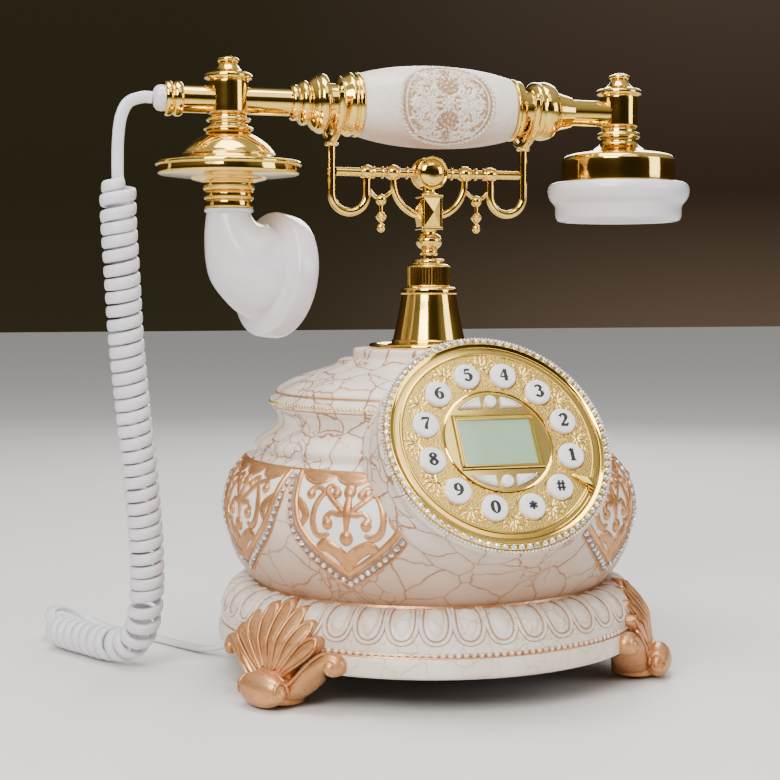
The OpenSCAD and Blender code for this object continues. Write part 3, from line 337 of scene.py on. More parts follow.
def ramp(tree, source, low, high, start=0.0, end=1.0):
    """Maps low..high of a value to start..end, held at the ends."""
    made = tree.nodes.new("ShaderNodeMapRange")
    made.interpolation_type = "SMOOTHSTEP"
    for key, value in (("From Min", low), ("From Max", high), ("To Min", start), ("To Max", end)):
        made.inputs[key].default_value = value
    wire(tree, source, made.inputs["Value"])
    return made.outputs["Result"]


def maths(tree, operation, first, second):
    """Each of the two may be a number or another node's socket."""
    made = tree.nodes.new("ShaderNodeMath")
    made.operation = operation
    for socket, value in zip(made.inputs, (first, second)):
        if isinstance(value, (int, float)):
            socket.default_value = value
        else:
            wire(tree, value, socket)
    return made.outputs[0]


def mixed(tree, factor, first, second):
    """Blends two colours, each a tuple or another node's socket."""
    made = tree.nodes.new("ShaderNodeMix")
    made.data_type = "RGBA"
    wire(tree, factor, made.inputs["Factor"])
    for index, value in ((6, first), (7, second)):
        if isinstance(value, tuple):
            made.inputs[index].default_value = (*value, 1)
        else:
            wire(tree, value, made.inputs[index])
    return made.outputs[2]


def group(name, inputs, outputs):
    """An empty node group with named number sockets."""
    tree = bpy.data.node_groups.new(name, "ShaderNodeTree")
    for key, value in inputs:
        socket = tree.interface.new_socket(key, in_out="INPUT", socket_type="NodeSocketFloat")
        socket.default_value = value
    for key in outputs:
        tree.interface.new_socket(key, in_out="OUTPUT", socket_type="NodeSocketFloat")
    return tree, tree.nodes.new("NodeGroupInput"), tree.nodes.new("NodeGroupOutput")


def placed(tree, made_group, **values):
    """Puts a node group into a material with its own values."""
    made = tree.nodes.new("ShaderNodeGroup")
    made.node_tree = made_group
    for key, value in values.items():
        made.inputs[key].default_value = value
    return made


# %% [markdown]
# Crackle lacquer splits into islands a centimetre across, and some islands split again. The
# distance to a Voronoi cell's edge draws the cracks; a slow noise bends them and breaks them up.

# %% The crackle group
crackle, crackle_in, crackle_out = group(
    "crackle", [("Cells", 80.0), ("Width", 0.03), ("Spread", 0.5)], ["Crack", "Stain"])
object_place = node(crackle, "ShaderNodeTexCoord").outputs["Object"]
bend = node(crackle, "ShaderNodeTexNoise", Scale=70.0, Detail=3.0)
wire(crackle, object_place, bend.inputs["Vector"])
push = node(crackle, "ShaderNodeVectorMath", operation="MULTIPLY_ADD")
push.inputs[1].default_value = (0.009, 0.009, 0.009)
wire(crackle, bend.outputs["Color"], push.inputs[0])
wire(crackle, object_place, push.inputs[2])


def crack_lines(scale_factor, width_factor):
    """How far a point lies from the nearest crack, in widths of the crack."""
    cells = node(crackle, "ShaderNodeTexVoronoi", feature="DISTANCE_TO_EDGE")
    wire(crackle, push.outputs[0], cells.inputs["Vector"])
    wire(crackle, maths(crackle, "MULTIPLY", crackle_in.outputs["Cells"], scale_factor),
         cells.inputs["Scale"])
    width = maths(crackle, "MULTIPLY", crackle_in.outputs["Width"], width_factor)
    return maths(crackle, "DIVIDE", cells.outputs["Distance"], width)


wide = crack_lines(1.0, 1.0)
fine = crack_lines(2.3, 1.7)
patches = node(crackle, "ShaderNodeTexNoise", Scale=26.0, Detail=2.0)
wire(crackle, object_place, patches.inputs["Vector"])
patch_value = patches.outputs["Fac"]
wide_line = maths(crackle, "MULTIPLY", ramp(crackle, wide, 0.45, 1.0, 1.0, 0.0),
                  ramp(crackle, patch_value, 0.36, 0.5, 0.35, 1.0))
patch_gate = maths(crackle, "SUBTRACT", patch_value,
                   maths(crackle, "SUBTRACT", 0.62, maths(crackle, "MULTIPLY",
                                                         crackle_in.outputs["Spread"], 0.2)))
fine_line = maths(crackle, "MULTIPLY", ramp(crackle, fine, 0.35, 1.0, 1.0, 0.0),
                  ramp(crackle, patch_gate, 0.0, 0.04, 0.0, 0.9))
wire(crackle, maths(crackle, "MAXIMUM", wide_line, fine_line), crackle_out.inputs["Crack"])
wire(crackle, ramp(crackle, wide, 0.5, 7.0, 1.0, 0.0), crackle_out.inputs["Stain"])
print("crackle group:", len(crackle.nodes), "nodes")

# %% [markdown]
# Handled metal is never one even mirror: the smear group gives it broad soft patches and a
# fine grain, for roughness and a whisper of bump.

# %% The smear group
smear, smear_in, smear_out = group("smear", [("Size", 40.0), ("Grain", 900.0)], ["Patch", "Grain"])
smear_place = node(smear, "ShaderNodeTexCoord").outputs["Object"]
for key, target in (("Size", "Patch"), ("Grain", "Grain")):
    cloud = node(smear, "ShaderNodeTexNoise", Detail=4.0, Roughness=0.6)
    wire(smear, smear_place, cloud.inputs["Vector"])
    wire(smear, smear_in.outputs[key], cloud.inputs["Scale"])
    wire(smear, cloud.outputs["Fac"], smear_out.inputs[target])
print("smear group:", len(smear.nodes), "nodes")

# %% [markdown]
# Every finish starts from the same shader with a colour, a roughness and a share of metal. What
# varies over the surface is wired in after.

# %% Start a material
def finish(name, colour, roughness, metallic=0.0, **more):
    """The material, its node tree and its shader."""
    material = bpy.data.materials.new(name)
    material.use_nodes = True
    tree = material.node_tree
    shader = tree.nodes["Principled BSDF"]
    shader.inputs["Base Color"].default_value = (*colour, 1)
    shader.inputs["Roughness"].default_value = roughness
    shader.inputs["Metallic"].default_value = metallic
    for key, value in more.items():
        shader.inputs[key.replace("_", " ")].default_value = value
    return material, tree, shader


def bumped(tree, shader, height, strength, depth):
    """Raises the surface's look by a height value, up to `depth` metres."""
    bump = node(tree, "ShaderNodeBump", Strength=strength, Distance=depth)
    wire(tree, height, bump.inputs["Height"])
    wire(tree, bump.outputs["Normal"], shader.inputs["Normal"])


# %% [markdown]
# The ivory parts are resin under a white lacquer that was made to crack, with brown rubbed into
# the cracks. Painted maps would fix one pattern; the group gives each part its own size of crack.
# The body and the grip also darken towards the bottom: painted shade and a painted reflection of a
# brown table, partly a brushed-on brown, that fades out upwards.

# %% Ivory crackle
# Painted shade and painted reflection of a brown table, partly a brushed-on brown, for the low
# parts.
SHADE_WASH_BROWN = (0.42, 0.23, 0.125)


def ivory_crackle(name, cells, width, spread, crack_colour, light, dark, stain=0.1, shade_wash=None):
    """Last argument: two heights in metres over which painted shade, partly brushed-on brown, fades
    out upwards.
    """
    material, tree, shader = finish(name, light, 0.42, Coat_Weight=0.12, Coat_Roughness=0.25)
    cracks = placed(tree, crackle, Cells=cells, Width=width, Spread=spread)
    clouds = placed(tree, smear, Size=22.0, Grain=420.0)
    tone = mixed(tree, ramp(tree, clouds.outputs["Patch"], 0.35, 0.68), light, dark)
    stained_and_shaded = mixed(tree, maths(tree, "MULTIPLY", cracks.outputs["Stain"], stain), tone,
                    crack_colour)
    # Painted shade: darker brown towards the bottom, partly a brushed-on brown.
    if shade_wash:
        place = tree.nodes.new("ShaderNodeTexCoord")
        height = tree.nodes.new("ShaderNodeSeparateXYZ")
        wire(tree, place.outputs["Object"], height.inputs[0])
        shade_wash_mask = ramp(tree, height.outputs["Z"], *shade_wash, 0.85, 0.0)
        stained_and_shaded = mixed(tree, shade_wash_mask, stained_and_shaded, SHADE_WASH_BROWN)
    wire(tree, mixed(tree, cracks.outputs["Crack"], stained_and_shaded, crack_colour),
         shader.inputs["Base Color"])
    wire(tree, ramp(tree, clouds.outputs["Grain"], 0.3, 0.7, 0.36, 0.52),
         shader.inputs["Roughness"])
    height = maths(tree, "SUBTRACT", maths(tree, "MULTIPLY", clouds.outputs["Grain"], 0.18),
                   cracks.outputs["Crack"])
    bumped(tree, shader, height, 0.55, 0.0005)
    return material


IVORY_LIGHT = (0.86, 0.78, 0.70)
IVORY_DARK = (0.76, 0.64, 0.52)
RUST = (0.36, 0.16, 0.07)
TAN = (0.60, 0.40, 0.23)
# The last pair in the body's and the grip's calls: heights of their painted shade towards the
# bottom.
body_ivory = ivory_crackle("ivory crackle", 62.0, 0.026, 0.2, RUST, IVORY_LIGHT, IVORY_DARK,
    0.14, (0.043, 0.096))
plinth_ivory = ivory_crackle("ivory light crackle", 95.0, 0.018, 0.1, (0.66, 0.50, 0.36),
    (0.84, 0.75, 0.66), (0.70, 0.58, 0.47), 0.08)
grip_ivory = ivory_crackle("ivory fine crackle", 190.0, 0.016, 0.2, (0.74, 0.62, 0.50),
    (0.87, 0.81, 0.74), (0.80, 0.72, 0.63), 0.05, (0.236, 0.256))
relief_ivory = ivory_crackle("ivory relief", 210.0, 0.03, 0.2, TAN, (0.85, 0.78, 0.69),
    (0.74, 0.64, 0.52), 0.08)
# Dark brown for grooves and the ground behind carving: painted shade in the recesses, partly brown
# rubbed in.
rubbed_and_shaded_ivory = ivory_crackle("ivory with brown wash", 210.0, 0.03, 0.6, TAN, (0.42, 0.25, 0.14),
    (0.32, 0.17, 0.085), 0.1)
print("ivories:", [m.name for m in bpy.data.materials if m.name.startswith("ivory")])

# %% [markdown]
# The fittings are plated: a mirror with a few soft patches where it was handled. The feet and the
# fretwork are painted instead, so their copper gold is only partly metal and stays soft.

# %% Gold, bronze and silver
def plated(name, colour, roughness, spread, bump, grain=900.0):
    """A metal whose roughness spreads upwards in patches."""
    material, tree, shader = finish(name, colour, roughness, 1.0)
    marks = placed(tree, smear, Size=40.0, Grain=grain)
    wire(tree, ramp(tree, marks.outputs["Patch"], 0.3, 0.75, roughness, roughness + spread),
         shader.inputs["Roughness"])
    deeper = tuple(c * k for c, k in zip(colour, (0.93, 0.86, 0.76)))
    wire(tree, mixed(tree, ramp(tree, marks.outputs["Patch"], 0.4, 0.8), colour, deeper),
         shader.inputs["Base Color"])
    bumped(tree, shader, marks.outputs["Grain"], bump, 0.0002)
    return material


mirror_gold = plated("mirror gold", (0.90, 0.62, 0.13), 0.05, 0.08, 0.03)
stamped_gold = plated("stamped gold", (0.93, 0.66, 0.19), 0.2, 0.14, 0.25, grain=1800.0)
spring_steel = plated("spring steel", (0.58, 0.58, 0.6), 0.28, 0.15, 0.1)


def bronze_paint():
    """Copper-gold paint over moulded relief."""
    material, tree, shader = finish("bronze paint", (0.66, 0.33, 0.14), 0.34, 0.6)
    marks = placed(tree, smear, Size=60.0, Grain=700.0)
    tone = mixed(tree, ramp(tree, marks.outputs["Patch"], 0.3, 0.72), (0.68, 0.34, 0.14),
                 (0.46, 0.20, 0.07))
    wire(tree, tone, shader.inputs["Base Color"])
    wire(tree, ramp(tree, marks.outputs["Grain"], 0.3, 0.7, 0.26, 0.44), shader.inputs["Roughness"])
    bumped(tree, shader, marks.outputs["Grain"], 0.08, 0.0004)
    return material


bronze = bronze_paint()
print("bronze paint:", len(bronze.node_tree.nodes), "nodes")

# %% [markdown]
# The rest is moulded: glossy white for the horn, cap and keys, duller for rubber and boards. One
# function gives them all a little change of gloss. The set stones carry a painted glint: their
# colour jumps between bright and dark from one stone to the next.

# %% Plastics, rubber, glass and stones
def moulded(name, colour, roughness, grain_bump=0.05, **more):
    """A plastic or a rubber with a faint moulded grain."""
    material, tree, shader = finish(name, colour, roughness, **more)
    marks = placed(tree, smear, Size=30.0, Grain=1500.0)
    wire(tree, ramp(tree, marks.outputs["Patch"], 0.3, 0.7, roughness, roughness + 0.08),
         shader.inputs["Roughness"])
    shade = tuple(c * 0.94 for c in colour)
    wire(tree, mixed(tree, ramp(tree, marks.outputs["Patch"], 0.35, 0.75), colour, shade),
         shader.inputs["Base Color"])
    bumped(tree, shader, marks.outputs["Grain"], grain_bump, 0.0002)
    return material


gloss_white = moulded("gloss white plastic", (0.74, 0.69, 0.73), 0.14, Coat_Weight=0.4)
key_white = moulded("key white", (0.84, 0.82, 0.80), 0.18, Coat_Weight=0.3)
cord_white = moulded("cord white", (0.74, 0.72, 0.76), 0.26, 0.08)
panel_white = moulded("panel white", (0.88, 0.85, 0.80), 0.4, 0.2)
# Dark brown under the panels' stones: painted shade in the gaps between them.
seat_shade_brown = moulded("brown wash", (0.27, 0.14, 0.07), 0.5, 0.3)
black_ink = moulded("black ink", (0.012, 0.012, 0.014), 0.35)
black_rubber = moulded("black rubber", (0.02, 0.02, 0.02), 0.7, 0.3)
dark_plastic = moulded("dark plastic", (0.03, 0.03, 0.032), 0.5, 0.2)
grey_rubber = moulded("grey silicone", (0.35, 0.35, 0.36), 0.6, 0.15)
board_green = moulded("board lacquer", (0.02, 0.14, 0.06), 0.3, 0.1)
screen_face = moulded("screen face", (0.28, 0.41, 0.26), 0.08, 0.0, Coat_Weight=0.3)
stone_white, stone_tree, stone_shader = finish("clear stone", (0.86, 0.86, 0.88), 0.05, 0.55,
                                               Coat_Weight=1.0)
# Painted glint: the stones' colour jumps between bright and dark with a fine noise.
painted_glint = placed(stone_tree, smear, Size=500.0, Grain=1400.0)
wire(stone_tree, mixed(stone_tree, ramp(stone_tree, painted_glint.outputs["Patch"], 0.42, 0.6),
                       (0.95, 0.95, 0.96), (0.42, 0.41, 0.42)), stone_shader.inputs["Base Color"])
print("finishes:", len(bpy.data.materials))

# %% [markdown]
# ## The curly cord
# A flat two-core cord wound on a mandrel and baked, so its curls keep their size: it hangs from
# the handset's end under its own weight, turns on the table behind, and goes back to the port
# under the base. Its middle line is a few chosen points with a smooth curve through them. A
# curl's place follows from the pitch, which is tight where the cord hangs and opens at the bend.

# %% The cord's route
PORT, PORT_TURN, PORT_Z, PLUG_OUT = (-78.9, 19.9), math.radians(25.5), 11.0, 2.5
CORD_EXIT = node_box("cord_boss")[0].x - AXIS_X
port_way = Vector((-math.sin(PORT_TURN), math.cos(PORT_TURN), 0))
port_mouth = Vector((*PORT, PORT_Z))
lead_in = [(CORD_EXIT - 0.3, 0, HANDSET_Z), (CORD_EXIT - 4.5, 0, HANDSET_Z), (-136.6, 0, 254.6),
    (-139.8, 0, 248.5), (-141.1, 0, 240), (-141.5, 0, 230)]
coil_line = [(-141.5, 0, 222), (-141.2, 1, 205), (-139.5, 4, 180), (-137.3, 8, 150),
    (-134, 12, 120), (-130.5, 16, 90), (-127.8, 20, 62), (-127, 24, 38),
    (-128.5, 29, 21), (-133, 38, 11), (-140.5, 51, 8.6), (-149.5, 68, 8.5),
    (-156.5, 82, 8.5), (-160.5, 94, 9)]
lead_out = [(-162.5, 103, 11.5), (-161, 113, 13.5), (-154.5, 122, 12.5), (-146, 125, 8.5),
    (-136.5, 120, 3.6), (-127, 109, 1.8), (-114, 89, 1.8), (-102, 67, 1.8),
    (-95, 53, 2.6), (-89.5, 42, 5.6), (-85.2, 33.3, 9.2),
    tuple(port_mouth + port_way * (PLUG_OUT + 5)), tuple(port_mouth + port_way * (PLUG_OUT + 0.3))]
route = [Vector(p) for p in lead_in + coil_line + lead_out]
coil_first, coil_last = len(lead_in), len(lead_in) + len(coil_line) - 1
HANGING_PITCH, BEND_PITCH, LYING_PITCH, HANG_ENDS, BEND_ENDS = 5.9, 7.6, 6.1, 7, 10
curl_counts = [0.0]
for j in range(1, len(coil_line)):
    pitch = HANGING_PITCH if j <= HANG_ENDS else BEND_PITCH if j <= BEND_ENDS else LYING_PITCH
    curl_counts.append(curl_counts[-1] + (Vector(coil_line[j]) - Vector(coil_line[j - 1])).length
                       / pitch)
CORD_WIDE, CORD_THICK, CURL_REACH, SIDE_TURN = 5.2, 3.0, 6.5, math.radians(31)
START_TURN = math.radians(31 - 90)
END_TURN = math.radians(360 * math.floor(curl_counts[-1]) + 90)
curls = (END_TURN - START_TURN) / (2 * math.pi)
print("curls:", round(curls, 2))

# %% [markdown]
# A curl goes round the route, and its reach grows over the first and the last turn, so the
# straight leads run into the coil. Each point also keeps the way that its flat side faces.

# %% Follow the route
def on_route(j, t):
    """The place and the way ahead, a share t along the route's stretch j."""
    near = [route[min(max(j + k, 0), len(route) - 1)] for k in (-1, 0, 1, 2)]
    return Vector(between(*near, t)), (Vector(between(*near, min(t + 0.01, 1)))
                                      - Vector(between(*near, max(t - 0.01, 0)))).normalized()


def eased(x):
    """0 to 1 with a soft start and a soft end."""
    x = min(max(x, 0), 1)
    return x * x * (3 - 2 * x)


CURL_POINTS, HANGING_CUTS, LYING_CUTS = 16, 5, 6
cord_line = []
for j in range(coil_first):
    cord_line += [(on_route(j, s / HANGING_CUTS)[0], Vector((0, 1, 0)))
                  for s in range(HANGING_CUTS)]
coil_steps = round(curls * CURL_POINTS)
for i in range(coil_steps):
    share = i / coil_steps
    count = share * curl_counts[-1]
    j = max(k for k in range(len(curl_counts) - 1) if curl_counts[k] <= count)
    centre, along = on_route(coil_first + j, (count - curl_counts[j])
                             / (curl_counts[j + 1] - curl_counts[j]))
    side = Vector((math.cos(SIDE_TURN), math.sin(SIDE_TURN), 0))
    side = (side - side.dot(along) * along).normalized()
    turn = START_TURN + (END_TURN - START_TURN) * share
    out = math.cos(turn) * side + math.sin(turn) * along.cross(side)
    reach = CURL_REACH * eased(share * curls) * eased((1 - share) * curls)
    cord_line.append((centre + reach * out, out))
for j in range(coil_last, len(route) - 1):
    cord_line += [(on_route(j, s / LYING_CUTS)[0], Vector((0, 0, -1)))
                  for s in range(LYING_CUTS)]
cord_line.append((route[-1], Vector((0, 0, -1))))

# %% [markdown]
# The cord is one tube of flattened rings along that line. The two cores make it wider than it
# is thick, so each ring is squared off a little and turned to lie flat against the mandrel.

# %% Make the cord
cord_shape = rod([(*place, CORD_WIDE / 2) for place, _ in cord_line], sides=10,
                 flat=CORD_THICK / CORD_WIDE, up=[out for _, out in cord_line], smooth=False,
                 square=0.75)
curly_cord = make("curly_cord_soft", cord_shape, UPRIGHT, cord_white, None,
                  cad=["curly_cord"], sharp=80)
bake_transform(curly_cord)

# %% [markdown]
# ## The body
# The cast resin body is turned: a round bulge, a collar, a cornice and a stepped crown. The
# dial's housing is a short drum that runs into its front. Both are spun, and boolean cuts open
# the inside, the dial's well and the stem's hole, as the mould does.

# %% The body's side
SEAM_Z, BULGE_Z, SEAM_R, BULGE_R, CROWN_TOP = 42.5, 75.5, 79.3, 93.8, 147.7
LOWER_IN, LOWER_DROP, UPPER_IN, UPPER_RISE = 29.0, 38.1, 27.7, 30.02


def bulge_side(grow=0.0):
    """The bulge from seam to shoulder: two arcs that meet at the widest point."""
    lower = [(BULGE_R - LOWER_IN * (1 - math.cos(math.radians(t))) + grow,
              BULGE_Z - LOWER_DROP * math.sin(math.radians(t))) for t in range(60, 0, -6)]
    upper = [(BULGE_R - UPPER_IN * (1 - math.cos(math.radians(t))) + grow,
              BULGE_Z + UPPER_RISE * math.sin(math.radians(t))) for t in range(0, 51, 5)]
    return lower + upper


neck_side = [(83.9, 98.5, 1), (82.6, 98.9, 1), (81.6, 99.6), (79.3, 101.2), (79, 102.4),
    (79.8, 104.3), (79.2, 106.4), (77, 108.4), (73.9, 110.8), (71.2, 112.6),
    (69.4, 114.3), (69.2, 116.2), (69.7, 118.4), (71.6, 120.9), (71.9, 122, 1),
    (72.8, 122.2), (73, 123.7), (72.8, 125.2), (71.9, 125.4, 1), (70.9, 126.6),
    (69.9, 127.6), (69.7, 129.2), (68.4, 130.5, 1), (67.6, 130.9), (62.1, 133.9),
    (54, 136.7), (46.6, 139), (42.2, 140.9), (41.4, 142.2), (40, 142.9, 1),
    (36.2, 143.2, 1), (35.2, 143.4), (34.8, 144.4), (34.8, 146.4), (34.4, 147.3),
    (33.4, 147.7, 1)]
inside_side = [(62, 106), (62, 123.5), (61, 127), (43, 135.5), (31.3, 142.2),
    (31.3, 144.2)]
print("body side:", len(bulge_side()) + len(neck_side), "points")

# %% [markdown]
# The dial's housing meets the bulge along a line that no outline can give, so the two are joined
# by a boolean. The exact solver is slower than the fast one but leaves no torn edge.

# %% Cut or join two closed shapes
def carved(shape, cutter, operation="DIFFERENCE"):
    """One closed shape cut by another, or joined to it, with the exact boolean."""
    pair = []
    for part in (shape, cutter):
        bmesh.ops.remove_doubles(part, verts=part.verts, dist=0.0001)
        bmesh.ops.recalc_face_normals(part, faces=part.faces)
        mesh = bpy.data.meshes.new("cut")
        part.to_mesh(mesh)
        part.free()
        pair.append(bpy.data.objects.new("cut", mesh))
        bpy.context.scene.collection.objects.link(pair[-1])
    cut = pair[0].modifiers.new("cut", "BOOLEAN")
    cut.operation, cut.object, cut.solver = operation, pair[1], "EXACT"
    result = bmesh.new()
    result.from_object(pair[0], bpy.context.evaluated_depsgraph_get())
    for part in pair:
        mesh = part.data
        bpy.data.objects.remove(part)
        bpy.data.meshes.remove(mesh)
    return result


# %% Cast the body
BODY_WALL, HOUSING_R, STEM_HOLE = 4.2, 49.5, 4.0
body_side = outline([(*bulge_side()[0], 1)] + bulge_side()[1:-1] + neck_side, 3)
body_shape = lathe([(0, SEAM_Z)] + body_side + [(0, CROWN_TOP)], steps=144, exact=True)
housing = lathe([(0, -40), (51.5, -40), (50.1, -8), (HOUSING_R, -4.2), (50.1, -3.4),
                 (50.1, -1.9), (HOUSING_R, -1.2), (0, -1.2)], steps=128, exact=True)
bmesh.ops.transform(housing, matrix=UPRIGHT.inverted() @ DIAL, verts=housing.verts)
body_shape = carved(body_shape, housing, "UNION")
cavity = lathe([(0, SEAM_Z - 1), (SEAM_R - BODY_WALL, SEAM_Z - 1)] + bulge_side(-BODY_WALL)
               + inside_side + [(0, inside_side[-1][1])], steps=96, exact=True)
body_shape = carved(body_shape, cavity)
well = lathe([(0, -60), (46.5, -60), (46.5, -10.6), (39.5, -10.6), (39.5, -8.1), (42.5, -8.1),
              (42.5, 1), (0, 1)], steps=96, exact=True)
bmesh.ops.transform(well, matrix=UPRIGHT.inverted() @ DIAL, verts=well.verts)
body_shape = carved(body_shape, well)
stem_hole = lathe([(0, 140), (STEM_HOLE, 140), (STEM_HOLE, 150), (0, 150)], steps=32, exact=True)
body_shape = carved(body_shape, stem_hole)
make("body_lacquered", body_shape, UPRIGHT, body_ivory, "base", cad=["body_shell"],
     sharp=50)

# %% [markdown]
# Thin gold lines are brushed into the body's grooves: at the shoulder, under and over the
# cornice and round the seam. Each is a slim ring that sits half in its groove.

# %% Gilded lines and the cornice's beads
def ring(radius, z, thick, steps=96, sides=8, squeeze=1.0):
    """A round hoop about Z."""
    return lathe([(radius + thick * math.cos(a), z + thick * squeeze * math.sin(a))
                  for a in (2 * math.pi * k / sides for k in range(sides + 1))], steps, exact=True)


def bead_row(radius, z, size, count, **kind):
    """Beads at equal steps round Z."""
    return put(bmesh.new(), bead(size, **kind),
               *[Matrix.Rotation(2 * math.pi * k / count, 4, "Z")
                 @ Matrix.Translation((0, -radius, z)) for k in range(count)])


gold_lines = joined(ring(83.6, 98.75, 0.55), ring(79.7, SEAM_Z + 0.1, 1.45),
                    ring(71.9, 121.9, 0.4), ring(70.2, 127.9, 0.35))
make("gilded_lines", gold_lines, UPRIGHT, bronze, "base")
make("cornice_beads", bead_row(72.5, 123.7, 0.95, 214, sides=8, rings=6), UPRIGHT,
     stamped_gold, "base")

# %% [markdown]
# ## The plinth
# The plinth flares out below the body: a hollow cove carved with tongues, a row of beads, a
# gilded line and a rounded moulding. It is spun as a closed ring, open in the middle for the
# bottom plate.

# %% Spin the plinth
COVE_R, COVE_IN, COVE_FOOT, COVE_RISE = 95.4, 16.1, 27, 15.5
cove = [(COVE_R - COVE_IN + COVE_IN * math.cos(a) ** 0.8, COVE_FOOT + COVE_RISE * math.sin(a))
        for a in (math.radians(t) for t in (75, 65, 55, 45, 35, 25, 15, 7))]
plinth_side = [(79.3, 42.5, 1)] + cove + [(95.3, 27.8), (95.3, 27.2, 1), (94.7, 26.5), (94.6, 25.7),
    (95.4, 25, 1), (96.1, 24.5), (96.7, 22.7), (96.9, 20.6), (96.8, 18.6), (96.2, 17.1),
    (94.6, 16.2), (93.4, 16, 1)]
plinth_inside = [[88.3, 16.0], [88.3, 20.0], [82.0, 20.0], [82.0, 32.5], [75.1, 39.5],
    [75.1, 42.5], [79.3, 42.5]]
plinth_ring = outline(plinth_side, 4) + plinth_inside
make("plinth_lacquered", lathe(plinth_ring, 160, exact=True), UPRIGHT, plinth_ivory, "base",
     cad=["plinth"])


# %% [markdown]
# Carving is drawn flat, in millimetres across, up and out, and then draped over the turned
# surface. The skin is the surface's own side line, so the carving keeps its width and follows
# the curve.

# %% Drape flat work on a turned surface
def drape(shape, skin, turn=0.0):
    """skin: (radius, height) points from the top down. Flat work hangs from the skin's start."""
    spans = [0.0]
    for (r0, z0), (r1, z1) in zip(skin, skin[1:]):
        spans.append(spans[-1] + math.hypot(r1 - r0, z1 - z0))
    for vert in shape.verts:
        across, up, out = vert.co
        down = min(max(-up, 0.0), spans[-1] - 1e-6)
        k = max(i for i in range(len(spans) - 1) if spans[i] <= down)
        t = (down - spans[k]) / (spans[k + 1] - spans[k])
        (r0, z0), (r1, z1) = skin[k], skin[k + 1]
        r, z = r0 + (r1 - r0) * t, z0 + (z1 - z0) * t
        tilt = Vector((r1 - r0, z1 - z0)).normalized()
        around = turn + across / r
        r, z = r - tilt.y * out, z + tilt.x * out
        vert.co = (r * math.sin(around), -r * math.cos(around), z)
    return shape


def flat_rod(points, sides=8, cuts=5, flat=0.6, closed=False):
    """A carved strip: (across, up, radius) points lying in the flat."""
    return rod([(x, y, 0.0, r) for x, y, r in points], sides, cuts, closed, flat)


VOLUTE_POINTS = 7


def volute(x, y, size, turns, start, thick, way=1):
    """Points of a curl that winds inwards round (x, y), ready for flat_rod."""
    line = []
    for k in range(int(VOLUTE_POINTS * turns) + 1):
        share = k / (VOLUTE_POINTS * turns)
        angle = math.radians(start) + way * 2 * math.pi * turns * share
        reach = size * (1 - 0.82 * share)
        line.append((x + reach * math.cos(angle), y + reach * math.sin(angle),
                     thick * (1 - 0.35 * share)))
    return line


# %% [markdown]
# Forty-two tongues stand round the cove. Each is a raised pad with a rim, and a dark brown line
# lies in the groove on either side of the rim: painted shade in the groove, partly brown rubbed in.

# %% Carve the tongues
TONGUES, TONGUE_HALF_W, TONGUE_H = 42, 6.2, 21.5
tongue_side = [(-5.2, -1.5), (-5.6, -6), (-6.2, -12), (-5.9, -16.5), (-3.9, -20.2), (0, -21.5)]
tongue_line = tongue_side + [(-x, y) for x, y in tongue_side[-2::-1]]


def tongue_strip(shrink, thick, flat):
    """A strip along the tongue's edge, drawn in towards its middle."""
    return flat_rod([(x * (1 - shrink / TONGUE_HALF_W), y * (1 - shrink / TONGUE_H), thick)
                     for x, y in tongue_line], sides=7, cuts=3, flat=flat)


tongue = joined(tongue_strip(0, 0.75, 1.15),
                bead((3.8, 8.6, 1.5), place=(0, -10.2, -0.1), sides=18, rings=10),
                bead((0.7, 1.1, 0.8), place=(7.1, -20.9, 0), sides=8, rings=5))
grooves = joined(tongue_strip(-0.72, 0.3, 1.1), tongue_strip(1.15, 0.36, 1.2))
cove_skin = outline(plinth_side[:9], 4)
tongue_ring, groove_ring = bmesh.new(), bmesh.new()
for k in range(TONGUES):
    turn = 2 * math.pi * k / TONGUES
    put(tongue_ring, drape(tongue.copy(), cove_skin, turn))
    put(groove_ring, drape(grooves.copy(), cove_skin, turn))
tongue.free()
grooves.free()
make("plinth_tongues", tongue_ring, UPRIGHT, plinth_ivory, "base")
make("plinth_grooves", groove_ring, UPRIGHT, rubbed_and_shaded_ivory, "base")
make("plinth_beads", bead_row(95.0, 26.2, 1.1, 186, sides=9, rings=6), UPRIGHT, relief_ivory,
     "base")
make("plinth_line", joined(ring(95.2, 25, 0.6, 120, 6), ring(95, 27.5, 0.3, 120, 6),
                           ring(94.6, 26.2, 0.75, 120, 6)),
     UPRIGHT, bronze, "base")

# %% [markdown]
# ## The shell feet
# Three cast feet carry the plinth: a scallop shell of seven ribs stands against the cove, a
# band with a volute ends each side, and a scroll makes the toe. The shell is drawn flat as
# across, height and depth, and then bent so that depth 0 lies on the plinth and depth 10 on
# the shell's front.

# %% Bend a flat shell round the plinth
SHELL_DEPTH = 10
shell_front = [(101.4, 0), (101.8, 8), (102.4, 18), (101.2, 28), (98.2, 33), (92.4, 40),
    (87.9, 46.5), (85.6, 51)]
shell_back = [(86, 0), (86, 12), (93, 16), (96.5, 20), (95.2, 26), (94.4, 31),
    (92.8, 35), (88.4, 40), (82, 46.5), (82.5, 51)]


def side_at(line, height):
    """The radius of a (radius, height) line at one height."""
    for (r0, z0), (r1, z1) in zip(line, line[1:]):
        if height <= z1:
            return r0 + (r1 - r0) * max(height - z0, 0) / (z1 - z0)
    return line[-1][0]


def bend_shell(shape):
    """Lays the flat shell against the plinth."""
    for vert in shape.verts:
        across, height, depth = vert.co
        back = side_at(shell_back, height)
        r = back + (side_at(shell_front, height) - back) * depth / SHELL_DEPTH
        vert.co = (across, -math.sqrt(max(r * r - across * across, 1.0)), height)


print("shell:", side_at(shell_front, 0), "mm from the axis at the table")

# %% [markdown]
# The ribs fan out from a hinge low in the shell, longest in the middle, each with a raised rim.
# One rib is a swelling rod; turning and shortening it gives the other six.

